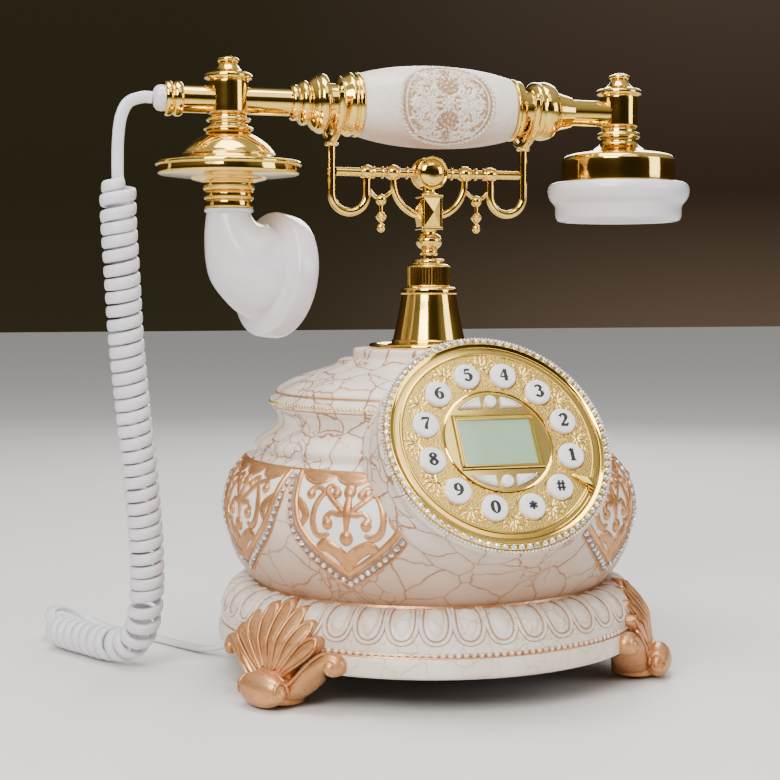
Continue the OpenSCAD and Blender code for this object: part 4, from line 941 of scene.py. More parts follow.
# %% Fan out the ribs
HINGE, RIB_STEP, RIB_LENGTH, RIB_SHORTER = 9.0, 15.5, 0.92, 0.028
shell = bmesh.new()
for i in range(-3, 4):
    fan = Matrix.Translation((0, HINGE, 0)) @ spun(-RIB_STEP * i)
    scale = RIB_LENGTH - RIB_SHORTER * abs(i)
    rib = rod([(0, d * scale, 4.6, r, 5.1 / r) for d, r in (
        (0, 1.5), (8, 1.8), (16, 2.5), (23, 3.3), (29, 3.75), (33.5, 3.7), (36.6, 2.8),
        (38.2, 1.2))], sides=20, cuts=4)
    rim = rod([(a, d * scale, 9.4, 0.72, 1.5) for a, d in (
        (-1.5, 10), (-2.2, 18), (-3, 25.5), (-3.3, 31), (-2.5, 35.4), (0, 37.4), (2.5, 35.4),
        (3.3, 31), (3, 25.5), (2.2, 18), (1.5, 10))], sides=8, cuts=3)
    put(shell, joined(rib, rim), fan)
for side in (-1, 1):
    band = [(side * x, y, 5.2, r, 5.0 / r) for x, y, r in (
        (3, 3.4, 3), (8, 6.2, 3.6), (13.5, 10.6, 4), (18.6, 15.6, 3.9), (23.4, 20, 3.4),
        (28, 23.2, 2.8), (31.8, 23, 2.4), (33.2, 20.2, 2), (31, 18, 1.7), (29, 19.6, 1.3))]
    edge = [(side * x, y, 10.2, 0.65, 1.3) for x, y in (
        (5.5, 6.5), (10, 9.8), (15, 14.5), (19.4, 19.2), (23.5, 23.4), (27.5, 26.2))]
    put(shell, joined(rod(band, sides=14, cuts=4), rod(edge, sides=7, cuts=3),
                      bead((3.2, 3.2, 6), place=(side * 30.6, 20.6, 6.0), sides=18, rings=10)))
bend_shell(shell)
print("shell:", len(shell.faces), "faces")

# %% [markdown]
# The toe is an egg that lies across, with a lip line over it and a spiral on each end, like a
# rolled leaf. Behind it a short leg stands on the rubber pad.

# %% Roll the toe and set the feet
TOE_Y, TOE_Z, SPIRAL_POINTS, SPIRAL_STEP = -105.5, 8.2, 12, 0.72
toe = bmesh.new()
put(toe, bead((12.6, 6.1, 7.5), place=(0, TOE_Y, TOE_Z), sides=36, rings=20))
put(toe, bead((11, 7.5, 6), place=(0, TOE_Y + 6.5, TOE_Z + 1.5), sides=24, rings=12))
put(toe, rod([(12 * math.sin(a), TOE_Y + 3.2, TOE_Z + 6.9 * math.cos(a), 0.8)
              for a in (math.radians(15 * k) for k in range(-6, 7))], sides=9, cuts=3,
             up=(0, 1, 0)))
for side in (-1, 1):
    spiral = [(side * (10.0 + 2.2 * k / SPIRAL_POINTS),
               TOE_Y + (4.4 - 3.6 * k / SPIRAL_POINTS) * math.cos(k * SPIRAL_STEP),
               TOE_Z + (5.0 - 4.2 * k / SPIRAL_POINTS) * math.sin(k * SPIRAL_STEP),
               1.15 - 0.05 * k) for k in range(SPIRAL_POINTS + 1)]
    put(toe, rod(spiral, sides=9, cuts=3))
    put(toe, bead(1.2, place=(side * 12.0, TOE_Y + 0.3, TOE_Z), sides=12, rings=8))
leg = lathe([(0, 0.7), (5.2, 0.7, 1), (5.3, 1.9, 1), (9, 1.9), (10, 3), (10, 14), (10, 16.2, 1),
             (0, 16.2)], steps=40)
bmesh.ops.transform(leg, matrix=Matrix.Translation((0, -94.5, 0)), verts=leg.verts)
feet = put(bmesh.new(), joined(shell, toe, leg), spun(60), spun(180), spun(300))
make("shell_feet", feet, UPRIGHT, bronze, "base", cad=["feet"], sharp=50)

# %% [markdown]
# ## The fretwork panels
# Eight shield-shaped panels of pierced scrollwork hang round the bulge, each with a row of
# set stones. One is drawn flat and draped eight times; the two beside the dial stop at its
# housing.

# %% Draw one panel
panel_side = [(26.2, -0.8), (25.9, -8), (25.2, -16), (22.7, -24), (17.4, -30.6), (10, -36.8),
    (3.4, -41.6), (0, -44)]


def both(points, **kind):
    """A strip and its mirror image."""
    return joined(flat_rod(points, **kind), flat_rod([(-x, y, r) for x, y, r in points], **kind))


fret = bmesh.new()
put(fret, both([(x, y, 1.5) for x, y in panel_side], flat=0.8, sides=10))
put(fret, flat_rod([(-26.2, -0.8, 1.3), (0, -0.8, 1.3), (26.2, -0.8, 1.3)], flat=0.8, cuts=10))
for x in (-16.6, 0, 16.6):
    put(fret, bead((8, 4.6, 1), place=(x, -1.4, 0), sides=20, rings=8))
    put(fret, flat_rod([(x - 8.0, -1.6, 0.5), (x - 5.4, -4.4, 0.75), (x, -6.2, 0.9),
                        (x + 5.4, -4.4, 0.75), (x + 8.0, -1.6, 0.5)], flat=1.2))
put(fret, flat_rod([(0, -8, 1), (0, -12, 1.6), (0, -17, 2.1), (0, -21, 1.7), (0, -24.5, 1.2),
                    (0, -26.4, 1)], flat=0.8))
put(fret, bead((3.1, 3.2, 1.9), place=(0, -28.3, 0.1), sides=16, rings=10))
put(fret, bead((2.9, 3.6, 1.6), place=(0, -9, 0.1), sides=14, rings=8))
for scroll in (
        [(1, -18.5, 1.5), (4, -15.6, 1.45), (7.8, -12.2, 1.4), (10.4, -9, 1.5),
         (9, -6.8, 1.3), (6.6, -7.6, 1.3), (5.6, -10.2, 2)],
        [(10.4, -9, 1.3), (13.2, -12.4, 1.4), (15.2, -17, 1.5), (15.8, -22, 1.6),
         (14.4, -26.2, 1.8), (11.2, -28, 1.7), (8.8, -27.2, 1)],
        [(11.4, -9.4, 1.3), (14.6, -7.8, 1.3), (17.4, -8.8, 1.5), (18, -11, 2.1)],
        [(0.8, -17.8, 1.5), (3.8, -18.8, 1.4), (7, -18.2, 1.3), (9.4, -20.2, 1.5),
         (8.6, -22.8, 2.3)]):
    put(fret, both(scroll, flat=0.8))
    for x, y, r in (scroll[-1],) if scroll[0][0] < 2 else (scroll[0], scroll[-1]):
        for side in (-1, 1):
            put(fret, bead((r * 1.12, r * 1.12, r * 0.85), place=(side * x, y, 0), sides=12,
                           rings=8))
put(fret, both([(24.4, -13.2, 1.2), (21.6, -16.4, 2.2), (19.6, -19.6, 2.1), (20.6, -22.8, 1.5),
                (22.4, -25, 1.1)], flat=0.6))
put(fret, both([(13, -36, 0.9), (13, -33.6, 2), (10.2, -31.8, 2.9), (6.6, -33, 3.1),
                (3.2, -35.4, 3.2), (0.8, -38.6, 3)], flat=0.45))
put(fret, flat_rod([(0, -34.4, 3.4), (0, -38, 3.2), (0, -41.5, 2.4), (0, -43.8, 1.2)], flat=0.45))
print("one panel:", len(fret.faces), "faces")

# %% [markdown]
# Behind the scrolls the panel has a plain white ground: a thin sheet cut to the panel's outline.

# %% Cut the panel's ground
def half_width(height):
    """Half the panel's width at one height."""
    for (x0, y0), (x1, y1) in zip(panel_side, panel_side[1:]):
        if height >= y1:
            return x0 + (x1 - x0) * (y0 - height) / (y0 - y1)
    return 0.3


SHEET_TOP, SHEET_DROP, SHEET_T = -1.0, 42.4, 0.6
sheet = bmesh.new()
bmesh.ops.create_grid(sheet, x_segments=10, y_segments=16, size=1)
for vert in sheet.verts:
    level = SHEET_TOP - SHEET_DROP * (1 - vert.co.y) / 2
    vert.co = (vert.co.x * max(half_width(level), 0.4), level, 0.25)
bmesh.ops.solidify(sheet, geom=sheet.faces[:], thickness=SHEET_T)
print("ground:", len(sheet.faces), "faces")

# %% [markdown]
# Each panel is edged with stones in a dark brown seat between two bronze lines; the seat is painted
# shade in the gaps between the stones. The stones are set at one pitch along the edge, so the step
# is measured along the line and not taken from its points.

# %% Space the stones
PLATE_BEHIND, OUT_OF_REACH = -60, 999
dial_inverse = (UPRIGHT.inverted() @ DIAL).inverted()


def from_dial(place):
    """How far a point lies from the dial's own axis."""
    local = dial_inverse @ place
    return math.hypot(local.x, local.y) if local.z > PLATE_BEHIND else OUT_OF_REACH


def stepped(points, pitch):
    """Places at equal steps along a line."""
    line = [Vector(p) for p in through(points, 8)]
    total = sum((b - a).length for a, b in zip(line, line[1:]))
    count = max(1, round(total / pitch))
    places, gone, k = [line[0]], 0.0, 1
    for a, b in zip(line, line[1:]):
        gone += (b - a).length
        while k <= count and gone >= total * k / count - 1e-6:
            places.append(b + (a - b).normalized() * (gone - total * k / count))
            k += 1
    return places


STONE_PITCH, SEAT_HALF_W, RIM_R = 3.3, 1.7, 0.5
edge_line = [(29.4, -9), (28.5, -17.5), (25.6, -26.2), (19.8, -33.4), (12, -39.9), (4.6, -45.3),
    (0, -48.4)]
stone_line = stepped([(29.6, -3.2)] + edge_line, STONE_PITCH)
stone_places = stone_line + [(-x, y) for x, y in stone_line[:-1]]
seat_line = [(x, y, SEAT_HALF_W) for x, y in [(29.6, -2.2)] + edge_line]
rim_line = [(x, y, RIM_R) for x, y in ((31.2, -1.6), (31, -9.6), (30, -18.4), (26.9, -27.6),
    (20.9, -35.1), (12.9, -41.8), (5.2, -47.4), (0, -50.6))]
print("stones on a whole panel:", len(stone_places))

# %% [markdown]
# The same flat panel is draped eight times. Where it would run under the dial's housing, its
# points are deleted and the cut filled, and stones that would sit on the housing are left out.

# %% Hang the panels
HOUSING_CUT, STONE_CLEAR = 47.0, 51.5
panel_skin = bulge_side()[::-1]
panels, stones, edges, seats, grounds = (bmesh.new() for _ in range(5))
for azimuth in (-160, -120, -80, -40, 40, 80, 120, 160):
    turn = math.radians(azimuth)
    worked = drape(fret.copy(), panel_skin, turn)
    edging = drape(both(rim_line, flat=1.0, sides=6), panel_skin, turn)
    seating = drape(both(seat_line, flat=0.28, sides=8), panel_skin, turn)
    backing = drape(sheet.copy(), panel_skin, turn)
    for shape in (worked, edging, seating, backing):
        inside = [v for v in shape.verts if from_dial(v.co) < HOUSING_CUT]
        if inside:
            bmesh.ops.delete(shape, geom=inside, context="VERTS")
            bmesh.ops.holes_fill(shape, edges=[e for e in shape.edges if e.is_boundary])
    for target, shape in ((panels, worked), (edges, edging), (seats, seating),
                          (grounds, backing)):
        put(target, shape)
    for x, y in stone_places:
        spot = drape(bead(0.1, place=(x, y, 0.7), sides=4, rings=3), panel_skin, turn)
        centre = sum((v.co for v in spot.verts), Vector()) / len(spot.verts)
        spot.free()
        if from_dial(centre) > STONE_CLEAR:
            put(stones, drape(bead((1.25, 1.25, 0.95), place=(x, y, 0.6), sides=8, rings=4),
                              panel_skin, turn))
fret.free()
sheet.free()
make("panel_grounds", grounds, UPRIGHT, panel_white, "base")
# The seats are painted shade between the stones.
make("stone_seats", seats, UPRIGHT, seat_shade_brown, "base")
make("fretwork_panels", panels, UPRIGHT, bronze, "base")
make("panel_edges", edges, UPRIGHT, bronze, "base")
make("panel_stones", stones, UPRIGHT, stone_white, "base", sharp=5)
print("faces so far:", made_faces)

# %% [markdown]
# ## The dial
# A stamped gold plate with twelve keys in a ring round a small screen. The plate itself is the
# CAD solid, with its holes; raised rings, stamped sprays of leaves and the key rims are laid on
# it. A ring of set stones holds it in the housing.

# %% Rings, stones and beads round the plate
DIAL_STONES, HOUSING_BEADS, KEY_CIRCLE, KEYS = 86, 196, 31.2, 12
trim_ring = lathe([(44.15, -1.1, 1), (48.1, -1.1, 1), (48.15, -0.2), (47.9, 0.2, 1),
    (46.4, 0.2, 1), (46.3, 0.7), (45.9, 0.95), (45.4, 0.7), (44.6, 0.35),
                   (44.15, 0.3, 1), (44.15, -1.1, 1)], steps=144)
make("dial_band", trim_ring, DIAL, mirror_gold, "base", cad=["dial_trim"])
dial_stones = bmesh.new()
for k in range(DIAL_STONES):
    put(dial_stones, bead((1.2, 1.2, 1), place=(0, -47.3, 0.55), sides=8, rings=4),
        spun(360 * k / DIAL_STONES))
make("dial_stones", dial_stones, DIAL, stone_white, "base", sharp=5)
make("housing_beads", bead_row(49.1, -0.7, 0.72, HOUSING_BEADS, sides=7, rings=5), DIAL,
     relief_ivory, "base")
plate_rings = joined(ring(41.2, 0.0, 0.75, 128, 8, 0.8), ring(23.2, 0.0, 0.7, 96, 8, 0.9),
                     ring(43.6, 0, 0.35, 128, 6))
for k in range(KEYS):
    put(plate_rings, ring(6.1, 0, 0.35, 36, 6),
        spun(30 * k - 15) @ Matrix.Translation((KEY_CIRCLE, 0, 0)))
make("plate_rings", plate_rings, DIAL, mirror_gold, "base")

# %% [markdown]
# The stamped field between the two rings is sprays of leaves outside, between every two keys,
# and small rings inside. They are pressed from the plate, so they stay under half a
# millimetre high.

# %% Stamp the field
def leaf(x, y, length, width, angle):
    """A flat egg that points away from (x, y)."""
    return put(bmesh.new(), bead((length / 2, width / 2, 0.45), place=(length / 2, 0, 0), sides=10,
                                 rings=6), Matrix.Translation((x, y, 0)) @ spun(angle))


spray = bmesh.new()
for x, y, length, width, angle in (
        (35.2, 0, 5, 1.7, 0), (35.4, 0.3, 4.4, 1.5, 38), (35.4, -0.3, 4.4, 1.5, -38),
        (34.6, 1, 4, 1.4, 82), (34.6, -1, 4, 1.4, -82), (33.6, 1.2, 3.4, 1.2, 124),
        (33.6, -1.2, 3.4, 1.2, -124), (37.4, 3.6, 2.8, 1.1, 66), (37.4, -3.6, 2.8, 1.1, -66),
        (38.2, 1.4, 2.6, 1, 24), (38.2, -1.4, 2.6, 1, -24), (36.4, 5.6, 2.4, 1, 96),
        (36.4, -5.6, 2.4, 1, -96)):
    put(spray, leaf(x, y, length, width, angle))
for side in (-1, 1):
    put(spray, flat_rod([(34.5, 0, 0.3), (33.2, side * 2.6, 0.32), (34.6, side * 4.8, 0.3),
                         (36.6, side * 4.4, 0.26), (36.2, side * 2.8, 0.22)], sides=6, cuts=3,
                        flat=0.8))
ringlet = put(bmesh.new(), ring(1.15, 0, 0.32, 18, 6), Matrix.Translation((27.6, 0, 0)))
put(ringlet, bead((0.5, 0.5, 0.4), place=(27.6, 0, 0), sides=8, rings=5))
put(ringlet, bead((0.55, 0.55, 0.4), place=(29.8, 0, 0), sides=8, rings=5))
field = bmesh.new()
BEHIND_STOP = 11
for k in range(KEYS):
    if k != BEHIND_STOP:
        put(field, spray.copy(), spun(30 * k))
    put(field, ringlet.copy(), spun(30 * k))
spray.free()
ringlet.free()
make("stamped_field", field, DIAL, stamped_gold, "base")

# %% [markdown]
# The screen sits in a frame whose inner faces slope down to the glass, so it is pushed round as
# a mitred section, as a picture frame is made. The finger stop is a block tapered to a wedge.

# %% Frame the screen
def picture_frame(width, height, section):
    """section: (distance in from the outer edge, height) points of a closed profile."""
    shape = bmesh.new()
    bmesh.ops.create_grid(shape, x_segments=1, y_segments=1, size=1)
    bmesh.ops.delete(shape, geom=shape.faces[:], context="FACES_ONLY")
    first = edges = list(shape.edges)
    verts = list(shape.verts)
    for k, (inset, level) in enumerate(section):
        if k:
            edges, verts = pushed(shape, edges)
        for vert in verts:
            vert.co = (math.copysign(width / 2 - inset, vert.co.x),
                       math.copysign(height / 2 - inset, vert.co.y), level)
    bmesh.ops.bridge_loops(shape, edges=first + edges)
    return shape


bezel = picture_frame(36, 25, [(0, -0.6), (0, 0.7), (0.3, 1.05), (0.9, 1.2), (1.2, 1.1),
    (2.15, -0.9), (2.2, -1.35), (0.6, -1.35), (0.6, -0.6)])
make("screen_frame", bezel, DIAL, mirror_gold, "base", cad=["screen_bezel"], sharp=25)
wedge = brick((10.4, 5.6, 2.3), place=(38.4, 0, 1.15))
for vert in wedge.verts:
    if vert.co.x < 38:
        vert.co.y *= 0.12
        vert.co.z = min(vert.co.z, 1.1)
bmesh.ops.bevel(wedge, geom=list(wedge.edges), offset=0.25, segments=2, affect="EDGES",
                profile=0.5, material=-1)
make("finger_wedge", wedge, DIAL @ spun(-30), mirror_gold, "base", cad=["finger_stop"],
     sharp=30)

# %% [markdown]
# ## The keys
# Each number key is a domed white cap with a printed figure. The figures are drawn with broad
# and thin strokes, as a bold book face has. Six plain function keys stand round the screen.

# %% List the strokes
# Each point of a stroke is x, y and half the pen's width there, in mm.
FIGURES = {
    "1": [[(0.1, 2.1, 0.5), (0.1, -1.9, 0.5)], [(-0.9, 1.3, 0.16), (0.1, 2.1, 0.3)],
        [(-0.9, -2.1, 0.2), (1.1, -2.1, 0.2)]],
    "2": [[(-1.2, 1.2, 0.45), (-0.5, 2, 0.25), (0.6, 1.9, 0.42), (1, 1, 0.5),
        (0.2, -0.4, 0.3), (-1.3, -2, 0.16)], [(-1.3, -1.9, 0.36), (1.2, -1.9, 0.42)],
        [(1.2, -1.8, 0.3), (1.4, -1.1, 0.12)]],
    "3": [[(-1.1, 1.5, 0.4), (-0.2, 2.1, 0.22), (0.8, 1.4, 0.46), (0.5, 0.5, 0.25),
        (-0.3, 0.2, 0.15)],
        [(-0.3, 0.2, 0.15), (0.8, -0.1, 0.3), (1.1, -1, 0.5), (0.3, -2.1, 0.28),
        (-1.2, -1.5, 0.42)]],
    "4": [[(0.6, 2.1, 0.45), (0.6, -2.1, 0.45)], [(0.5, 2.1, 0.2), (-1.4, -0.8, 0.15)],
        [(-1.4, -0.85, 0.2), (1.4, -0.85, 0.2)], [(0, -2.15, 0.16), (1.2, -2.15, 0.16)]],
    "5": [[(-0.8, 2, 0.34), (1, 2, 0.3)], [(-0.8, 2, 0.16), (-1, 0.3, 0.18)],
        [(-1, 0.3, 0.18), (0.3, 0.6, 0.3), (1.1, -0.5, 0.52), (0.3, -2, 0.28),
        (-1.2, -1.5, 0.42)]],
    "6": [[(1, 1.9, 0.2), (-0.4, 1.3, 0.3), (-1.1, -0.4, 0.5), (-0.3, -2.05, 0.22),
        (0.9, -1.5, 0.42), (0.9, -0.2, 0.42), (-0.1, 0.3, 0.18), (-0.9, -0.4, 0.2)]],
    "7": [[(-1.2, 1.9, 0.36), (1.2, 1.9, 0.3)],
        [(1.2, 1.8, 0.14), (0, -0.3, 0.35), (-0.4, -2.1, 0.45)],
        [(-1.2, 1.9, 0.3), (-1.3, 1.1, 0.1)]],
    "8": [[(0, 0.2, 0.35), (-0.9, 1.2, 0.42), (0, 2.1, 0.2), (0.9, 1.2, 0.42), (0, 0.2, 0.35),
        (-1.1, -1, 0.45), (0, -2.1, 0.22), (1.1, -1, 0.45), (0, 0.2, 0.35)]],
    "9": [[(-1, -1.9, 0.2), (0.4, -1.3, 0.3), (1.1, 0.4, 0.5), (0.3, 2.05, 0.22),
        (-0.9, 1.5, 0.42), (-0.9, 0.2, 0.42), (0.1, -0.3, 0.18), (0.9, 0.4, 0.2)]],
    "0": [[(0, 2.1, 0.2), (-1, 1, 0.45), (-1, -1, 0.45), (0, -2.1, 0.2), (1, -1, 0.45),
        (1, 1, 0.45), (0, 2.1, 0.2)]],
    "star": [[(1.5 * math.cos(a) * k, 1.5 * math.sin(a) * k, 0.24 + 0.16 * abs(k))
        for k in (-1, 0, 1)] for a in (math.pi / 2, math.pi / 6, -math.pi / 6)],
    "hash": [[(-0.5, 1.9, 0.3), (-0.8, -1.9, 0.3)], [(0.8, 1.9, 0.3), (0.5, -1.9, 0.3)],
        [(-1.5, 0.7, 0.27), (1.5, 0.7, 0.27)], [(-1.5, -0.7, 0.27), (1.5, -0.7, 0.27)]]}
print("figures:", len(FIGURES), "of", sum(len(strokes) for strokes in FIGURES.values()), "strokes")

# %% [markdown]
# One lathed cap serves all twelve keys. A figure's foot is set below the cap's top and its face
# just above it, so the ink lies on the dome with no gap and stands up only a hair.

# %% Make the number keys
KEY_R, KEY_RISE = 5.6, 2.4
FIGURE_WIDE, FIGURE_HIGH, FIGURE_BOLD = 1.24, 1.26, 1.95
INK_FOOT, INK_FACE, INK_DOME = 2.2, 2.42, 0.04
cap_line = [(0, -3.4), (2.8, -3.4, 1), (2.8, -2.4, 1), (6.5, -2.4, 1), (6.5, -1.4, 1),
            (KEY_R, -1.4, 1), (KEY_R, 1.3), (5.4, 1.85), (4.8, 2.2), (3.4, 2.34), (1.6, 2.39),
            (0, KEY_RISE)]
for i, key in enumerate(["1", "2", "3", "4", "5", "6", "7", "8", "9", "0", "star", "hash"]):
    angle = -15 + 30 * i
    seat = DIAL @ Matrix.Translation((KEY_CIRCLE * math.cos(math.radians(angle)),
                                      KEY_CIRCLE * math.sin(math.radians(angle)), 0))
    make(f"cap_{key}", lathe(cap_line, 40), seat, key_white, f"key_{key}_cap",
         cad=[f"key_{key}"], sharp=45)
    figure = joined(*[flat_rod([(x * FIGURE_WIDE, y * FIGURE_HIGH, r * FIGURE_BOLD)
                                for x, y, r in stroke], sides=6, cuts=4, flat=0.5)
                      for stroke in FIGURES[key]])
    for vert in figure.verts:
        vert.co.z = (INK_FOOT if vert.co.z < -0.01
                     else INK_FACE + INK_DOME * min(vert.co.z / 0.1, 1))
    make(f"figure_{key}", figure, seat, black_ink, f"key_{key}_cap")

# %% [markdown]
# Three caps above the screen and three below it are a small round one between two pieces of the
# same arc. The pieces are cut from a disc with planes, drawn up, and softened on top.

# %% Shape a function key
def function_cap(grow, column, low, high, soften):
    """A cap between two heights: round in the middle, or a piece of the arc beside it."""
    shape = bmesh.new()
    if column == 0:
        bmesh.ops.create_circle(shape, cap_ends=True, segments=36, radius=2.6 + grow,
                                matrix=Matrix.Translation((0, 18.3, low)))
    else:
        bmesh.ops.create_circle(shape, cap_ends=True, segments=160, radius=21 + grow,
                                matrix=Matrix.Translation((0, 0, low)))
        for place, way in (((0, 15.4 - grow, 0), (0, -1, 0)), ((14.9 + grow, 0, 0), (1, 0, 0)),
                           ((4.4 - grow, 0, 0), (-1, 0, 0))):
            bmesh.ops.bisect_plane(shape, geom=shape.verts[:] + shape.edges[:] + shape.faces[:],
                                   plane_co=place, plane_no=way, clear_outer=True)
    raised = bmesh.ops.extrude_face_region(shape, geom=shape.faces[:])["geom"]
    verts = [g for g in raised if isinstance(g, bmesh.types.BMVert)]
    bmesh.ops.translate(shape, vec=(0, 0, high - low), verts=verts)
    if soften:
        top = [e for e in shape.edges if all(v.co.z > high - 0.01 for v in e.verts)]
        bmesh.ops.bevel(shape, geom=top, offset=soften, segments=3, affect="EDGES", profile=0.5,
                        material=-1)
    if column < 0:
        bmesh.ops.transform(shape, matrix=Matrix.Scale(-1, 4, (1, 0, 0)), verts=shape.verts)
    return shape


# %% Cut the function keys
FN_NAMES = ["upper_left", "upper_mid", "upper_right", "lower_left", "lower_mid", "lower_right"]
for i, key in enumerate(FN_NAMES):
    column = i % 3 - 1
    cap = joined(function_cap(-0.3 if column else 0.0, column, -1.4, 1.8, 0.55),
                 function_cap(0.6, column, -2.4, -1.4, 0))
    make(f"fn_cap_{key}", cap, DIAL @ (Matrix() if i < 3 else Matrix.Scale(-1, 4, (0, 1, 0))),
         key_white, f"fn_{key}_cap", cad=[f"fn_{key}"], sharp=35)

# %% [markdown]
# ## The column
# A dished disc, a tapering column, a fluted collar and a plain cap stand on the crown. Disc and
# column are turned work on one upright axis, so a lathed outline gives each its full shape.

# %% Turn the column
make("column_disc_turned", lathe([(4, 147.7), (27.4, 147.7, 1), (27.5, 148.6), (27.2, 149.5),
     (26.4, 149.8), (25.4, 149.6, 1), (23.8, 149), (20.6, 148.9), (19, 149.3, 1), (18.6, 149.7, 1),
     (4, 149.7, 1), (4, 147.7)], 112), UPRIGHT, mirror_gold, "base",
     cad=["column_disc"])
make("column_turned", lathe([(4, 149.7, 1), (17.2, 149.7, 1), (17.3, 150.5), (17, 151.3),
     (16.5, 151.6, 1), (16.4, 152), (15, 158.5), (13.8, 164.5), (12.9, 169.5), (12.4, 172.1, 1),
     (12.9, 172.5), (12.95, 173.3), (12.8, 174.4), (12.2, 175.2), (11.4, 175.5, 1), (4, 175.5, 1),
     (4, 149.7)], 96), UPRIGHT, mirror_gold, "base", cad=["column_cone"])

# %% [markdown]
# The collar is knurled. A circle is bent to a star with a soft point for each flute and drawn
# up, and a lathed core with its plain rims stands inside.

# %% Flute the collar
CONE_TOP, KNURL_TOP = 175.5, 186.0
FLUTES, FLUTE_CUTS, FLUTE_DEPTH = 40, 6, 0.032
fluted = bmesh.new()
bmesh.ops.create_circle(fluted, segments=FLUTES * FLUTE_CUTS, radius=9.5,
                        matrix=Matrix.Translation((0, 0, CONE_TOP)))
for k, vert in enumerate(fluted.verts):
    vert.co.xy *= 1 + FLUTE_DEPTH * math.cos(2 * math.pi * k / FLUTE_CUTS)
edges = list(fluted.edges)
for level, scale in ((CONE_TOP + 0.5, 1.0), (KNURL_TOP - 1.3, 1.0), (KNURL_TOP - 0.9, 0.93),
                     (KNURL_TOP - 0.9, 0.5)):
    edges, verts = pushed(fluted, edges)
    for vert in verts:
        vert.co = (vert.co.x * scale, vert.co.y * scale, level)
cap = lathe([(3.26, 175.5, 1), (9.6, 175.5, 1), (9.95, 175.9), (9.6, 176.3, 1), (8.4, 176.3, 1),
    (8.4, 184.2, 1), (9.2, 184.4, 1), (9.55, 184.9), (9.1, 185.5), (8.2, 185.9), (7.4, 186, 1),
    (7.45, 186.8), (7.2, 187.6), (6.2, 188.3), (3.26, 188.3, 1), (3.26, 175.5)], 80)
make("collar_fluted", joined(fluted, cap), UPRIGHT, mirror_gold, "base",
     cad=["column_collar"], sharp=35)

# %% [markdown]
# ## The cradle
# A stem slides in the column and carries a studded block, a cross bar with a round boss, two
# hooks with their forks, two braces and two small drops. The rods are bent bar, so each is one
# rod along a smooth line.

# %% Turn the stem and stud the block
make("stem_turned", lathe([(0, 108.7), (2, 108.7, 1), (2, 114.2, 1), (6.5, 114.2, 1),
     (6.5, 116.2, 1), (3.2, 116.2, 1), (3.2, 189.8, 1), (3.9, 190.2), (4.2, 191.2), (3.9, 192.4),
     (3.4, 192.9, 1), (4.2, 193.2), (5.4, 194.3), (6.1, 196.1), (5.9, 197.5), (5.6, 197.7, 1),
     (5.6, 198.1, 1), (4.6, 199.2), (3.5, 199.8, 1), (3.4, 200.6), (3.6, 201.6, 1), (0, 201.6)],
     56), UPRIGHT,
     mirror_gold, "cradle", cad=["hook_stem"])
BLOCK_H, STUD_RISE, LID_H = 15.7, 2.9, 1.1
block = bmesh.new()
bmesh.ops.create_cube(block, size=1, matrix=Matrix.Translation((0, 0, BLOCK_Z + BLOCK_H / 2))
                      @ Matrix.Diagonal((8.6, 8.6, BLOCK_H - 1.2, 1)))
sides = [f for f in block.faces if abs(f.normal.z) < 0.5]
bmesh.ops.poke(block, faces=sides, offset=STUD_RISE)
rims = bmesh.new()
for turn in range(4):
    rim = picture_frame(9.6, BLOCK_H, [(0, -0.6), (0, 0), (0.35, 0.2), (0.75, 0), (0.8, -0.6)])
    put(rims, rim, Matrix.Translation((0, 0, BLOCK_Z + BLOCK_H / 2)) @ spun(90 * turn)
        @ Matrix.Translation((0, -4.6, 0)) @ spun(90, "X"))
lids = joined(brick((10.2, 10.2, LID_H), (0, 0, BLOCK_Z + LID_H / 2), 0.3),
              brick((10.2, 10.2, LID_H), (0, 0, BLOCK_TOP - LID_H / 2), 0.3))
make("block_studded", joined(block, rims, lids), UPRIGHT, mirror_gold, "cradle",
     cad=["cradle_block"], sharp=15)

# %% [markdown]
# The bar is turned: balls with a collar on each side and thin rings between. Two braces curve
# from it in to the block, and a round boss with a moulded rim covers the crossing.

# %% Bend the bar, braces and boss
ROD_R, BAR_HALF, BOSS_FLAT = 1.9, 44.2, 0.76
bar = rod([(-BAR_HALF, 0, BAR_Z, ROD_R), (BAR_HALF, 0, BAR_Z, ROD_R)], sides=20, smooth=False)
for side in (-1, 1):
    for x, r in ((17.3, 3.6), (29.8, 3.3)):
        put(bar, lathe([(0, -r), (1.9, -r + 0.2), (2.6, -r + 0.7, 1), (2.5, -r + 1.0, 1),
                        (r * 0.9, -1.5), (r, 0), (r * 0.9, 1.5), (2.5, r - 1.0, 1),
                        (2.6, r - 0.7, 1), (1.9, r - 0.2), (0, r)], 28),
            Matrix.Translation((side * x, 0, BAR_Z)) @ spun(90, "Y"))
    for x in (10.8, 22.5, 26.6):
        put(bar, ring(ROD_R + 0.45, 0, 0.5, 28, 8),
            Matrix.Translation((side * x, 0, BAR_Z)) @ spun(90, "Y"))
    put(bar, rod([(side * x, 0, BAR_Z - d, 1.6) for x, d in (
        (17.3, 2.6), (16.9, 7), (15.3, 11.4), (12.4, 15.2), (8.6, 17.9), (4.4, 19.4))], sides=14,
        cuts=5, up=(0, 1, 0)))
boss_line = [(0, -9.1), (2.4, -8.9), (4.4, -8.1), (5.7, -6.9), (6.1, -6, 1), (6.3, -6.7),
    (6.9, -7.2), (7.4, -6.6), (7.35, -5.4), (7, -4.6, 1), (6.6, -4.2), (6.6, 4.2), (7, 4.6, 1),
    (7.35, 5.4), (7.4, 6.6), (6.9, 7.2), (6.3, 6.7), (6.1, 6, 1), (5.7, 6.9), (4.4, 8.1),
    (2.4, 8.9), (0, 9.1)]
put(bar, lathe([(r, z * BOSS_FLAT, *sharp) for r, z, *sharp in boss_line], 56),
    Matrix.Translation((0, 0, BAR_Z)) @ spun(90, "X"))
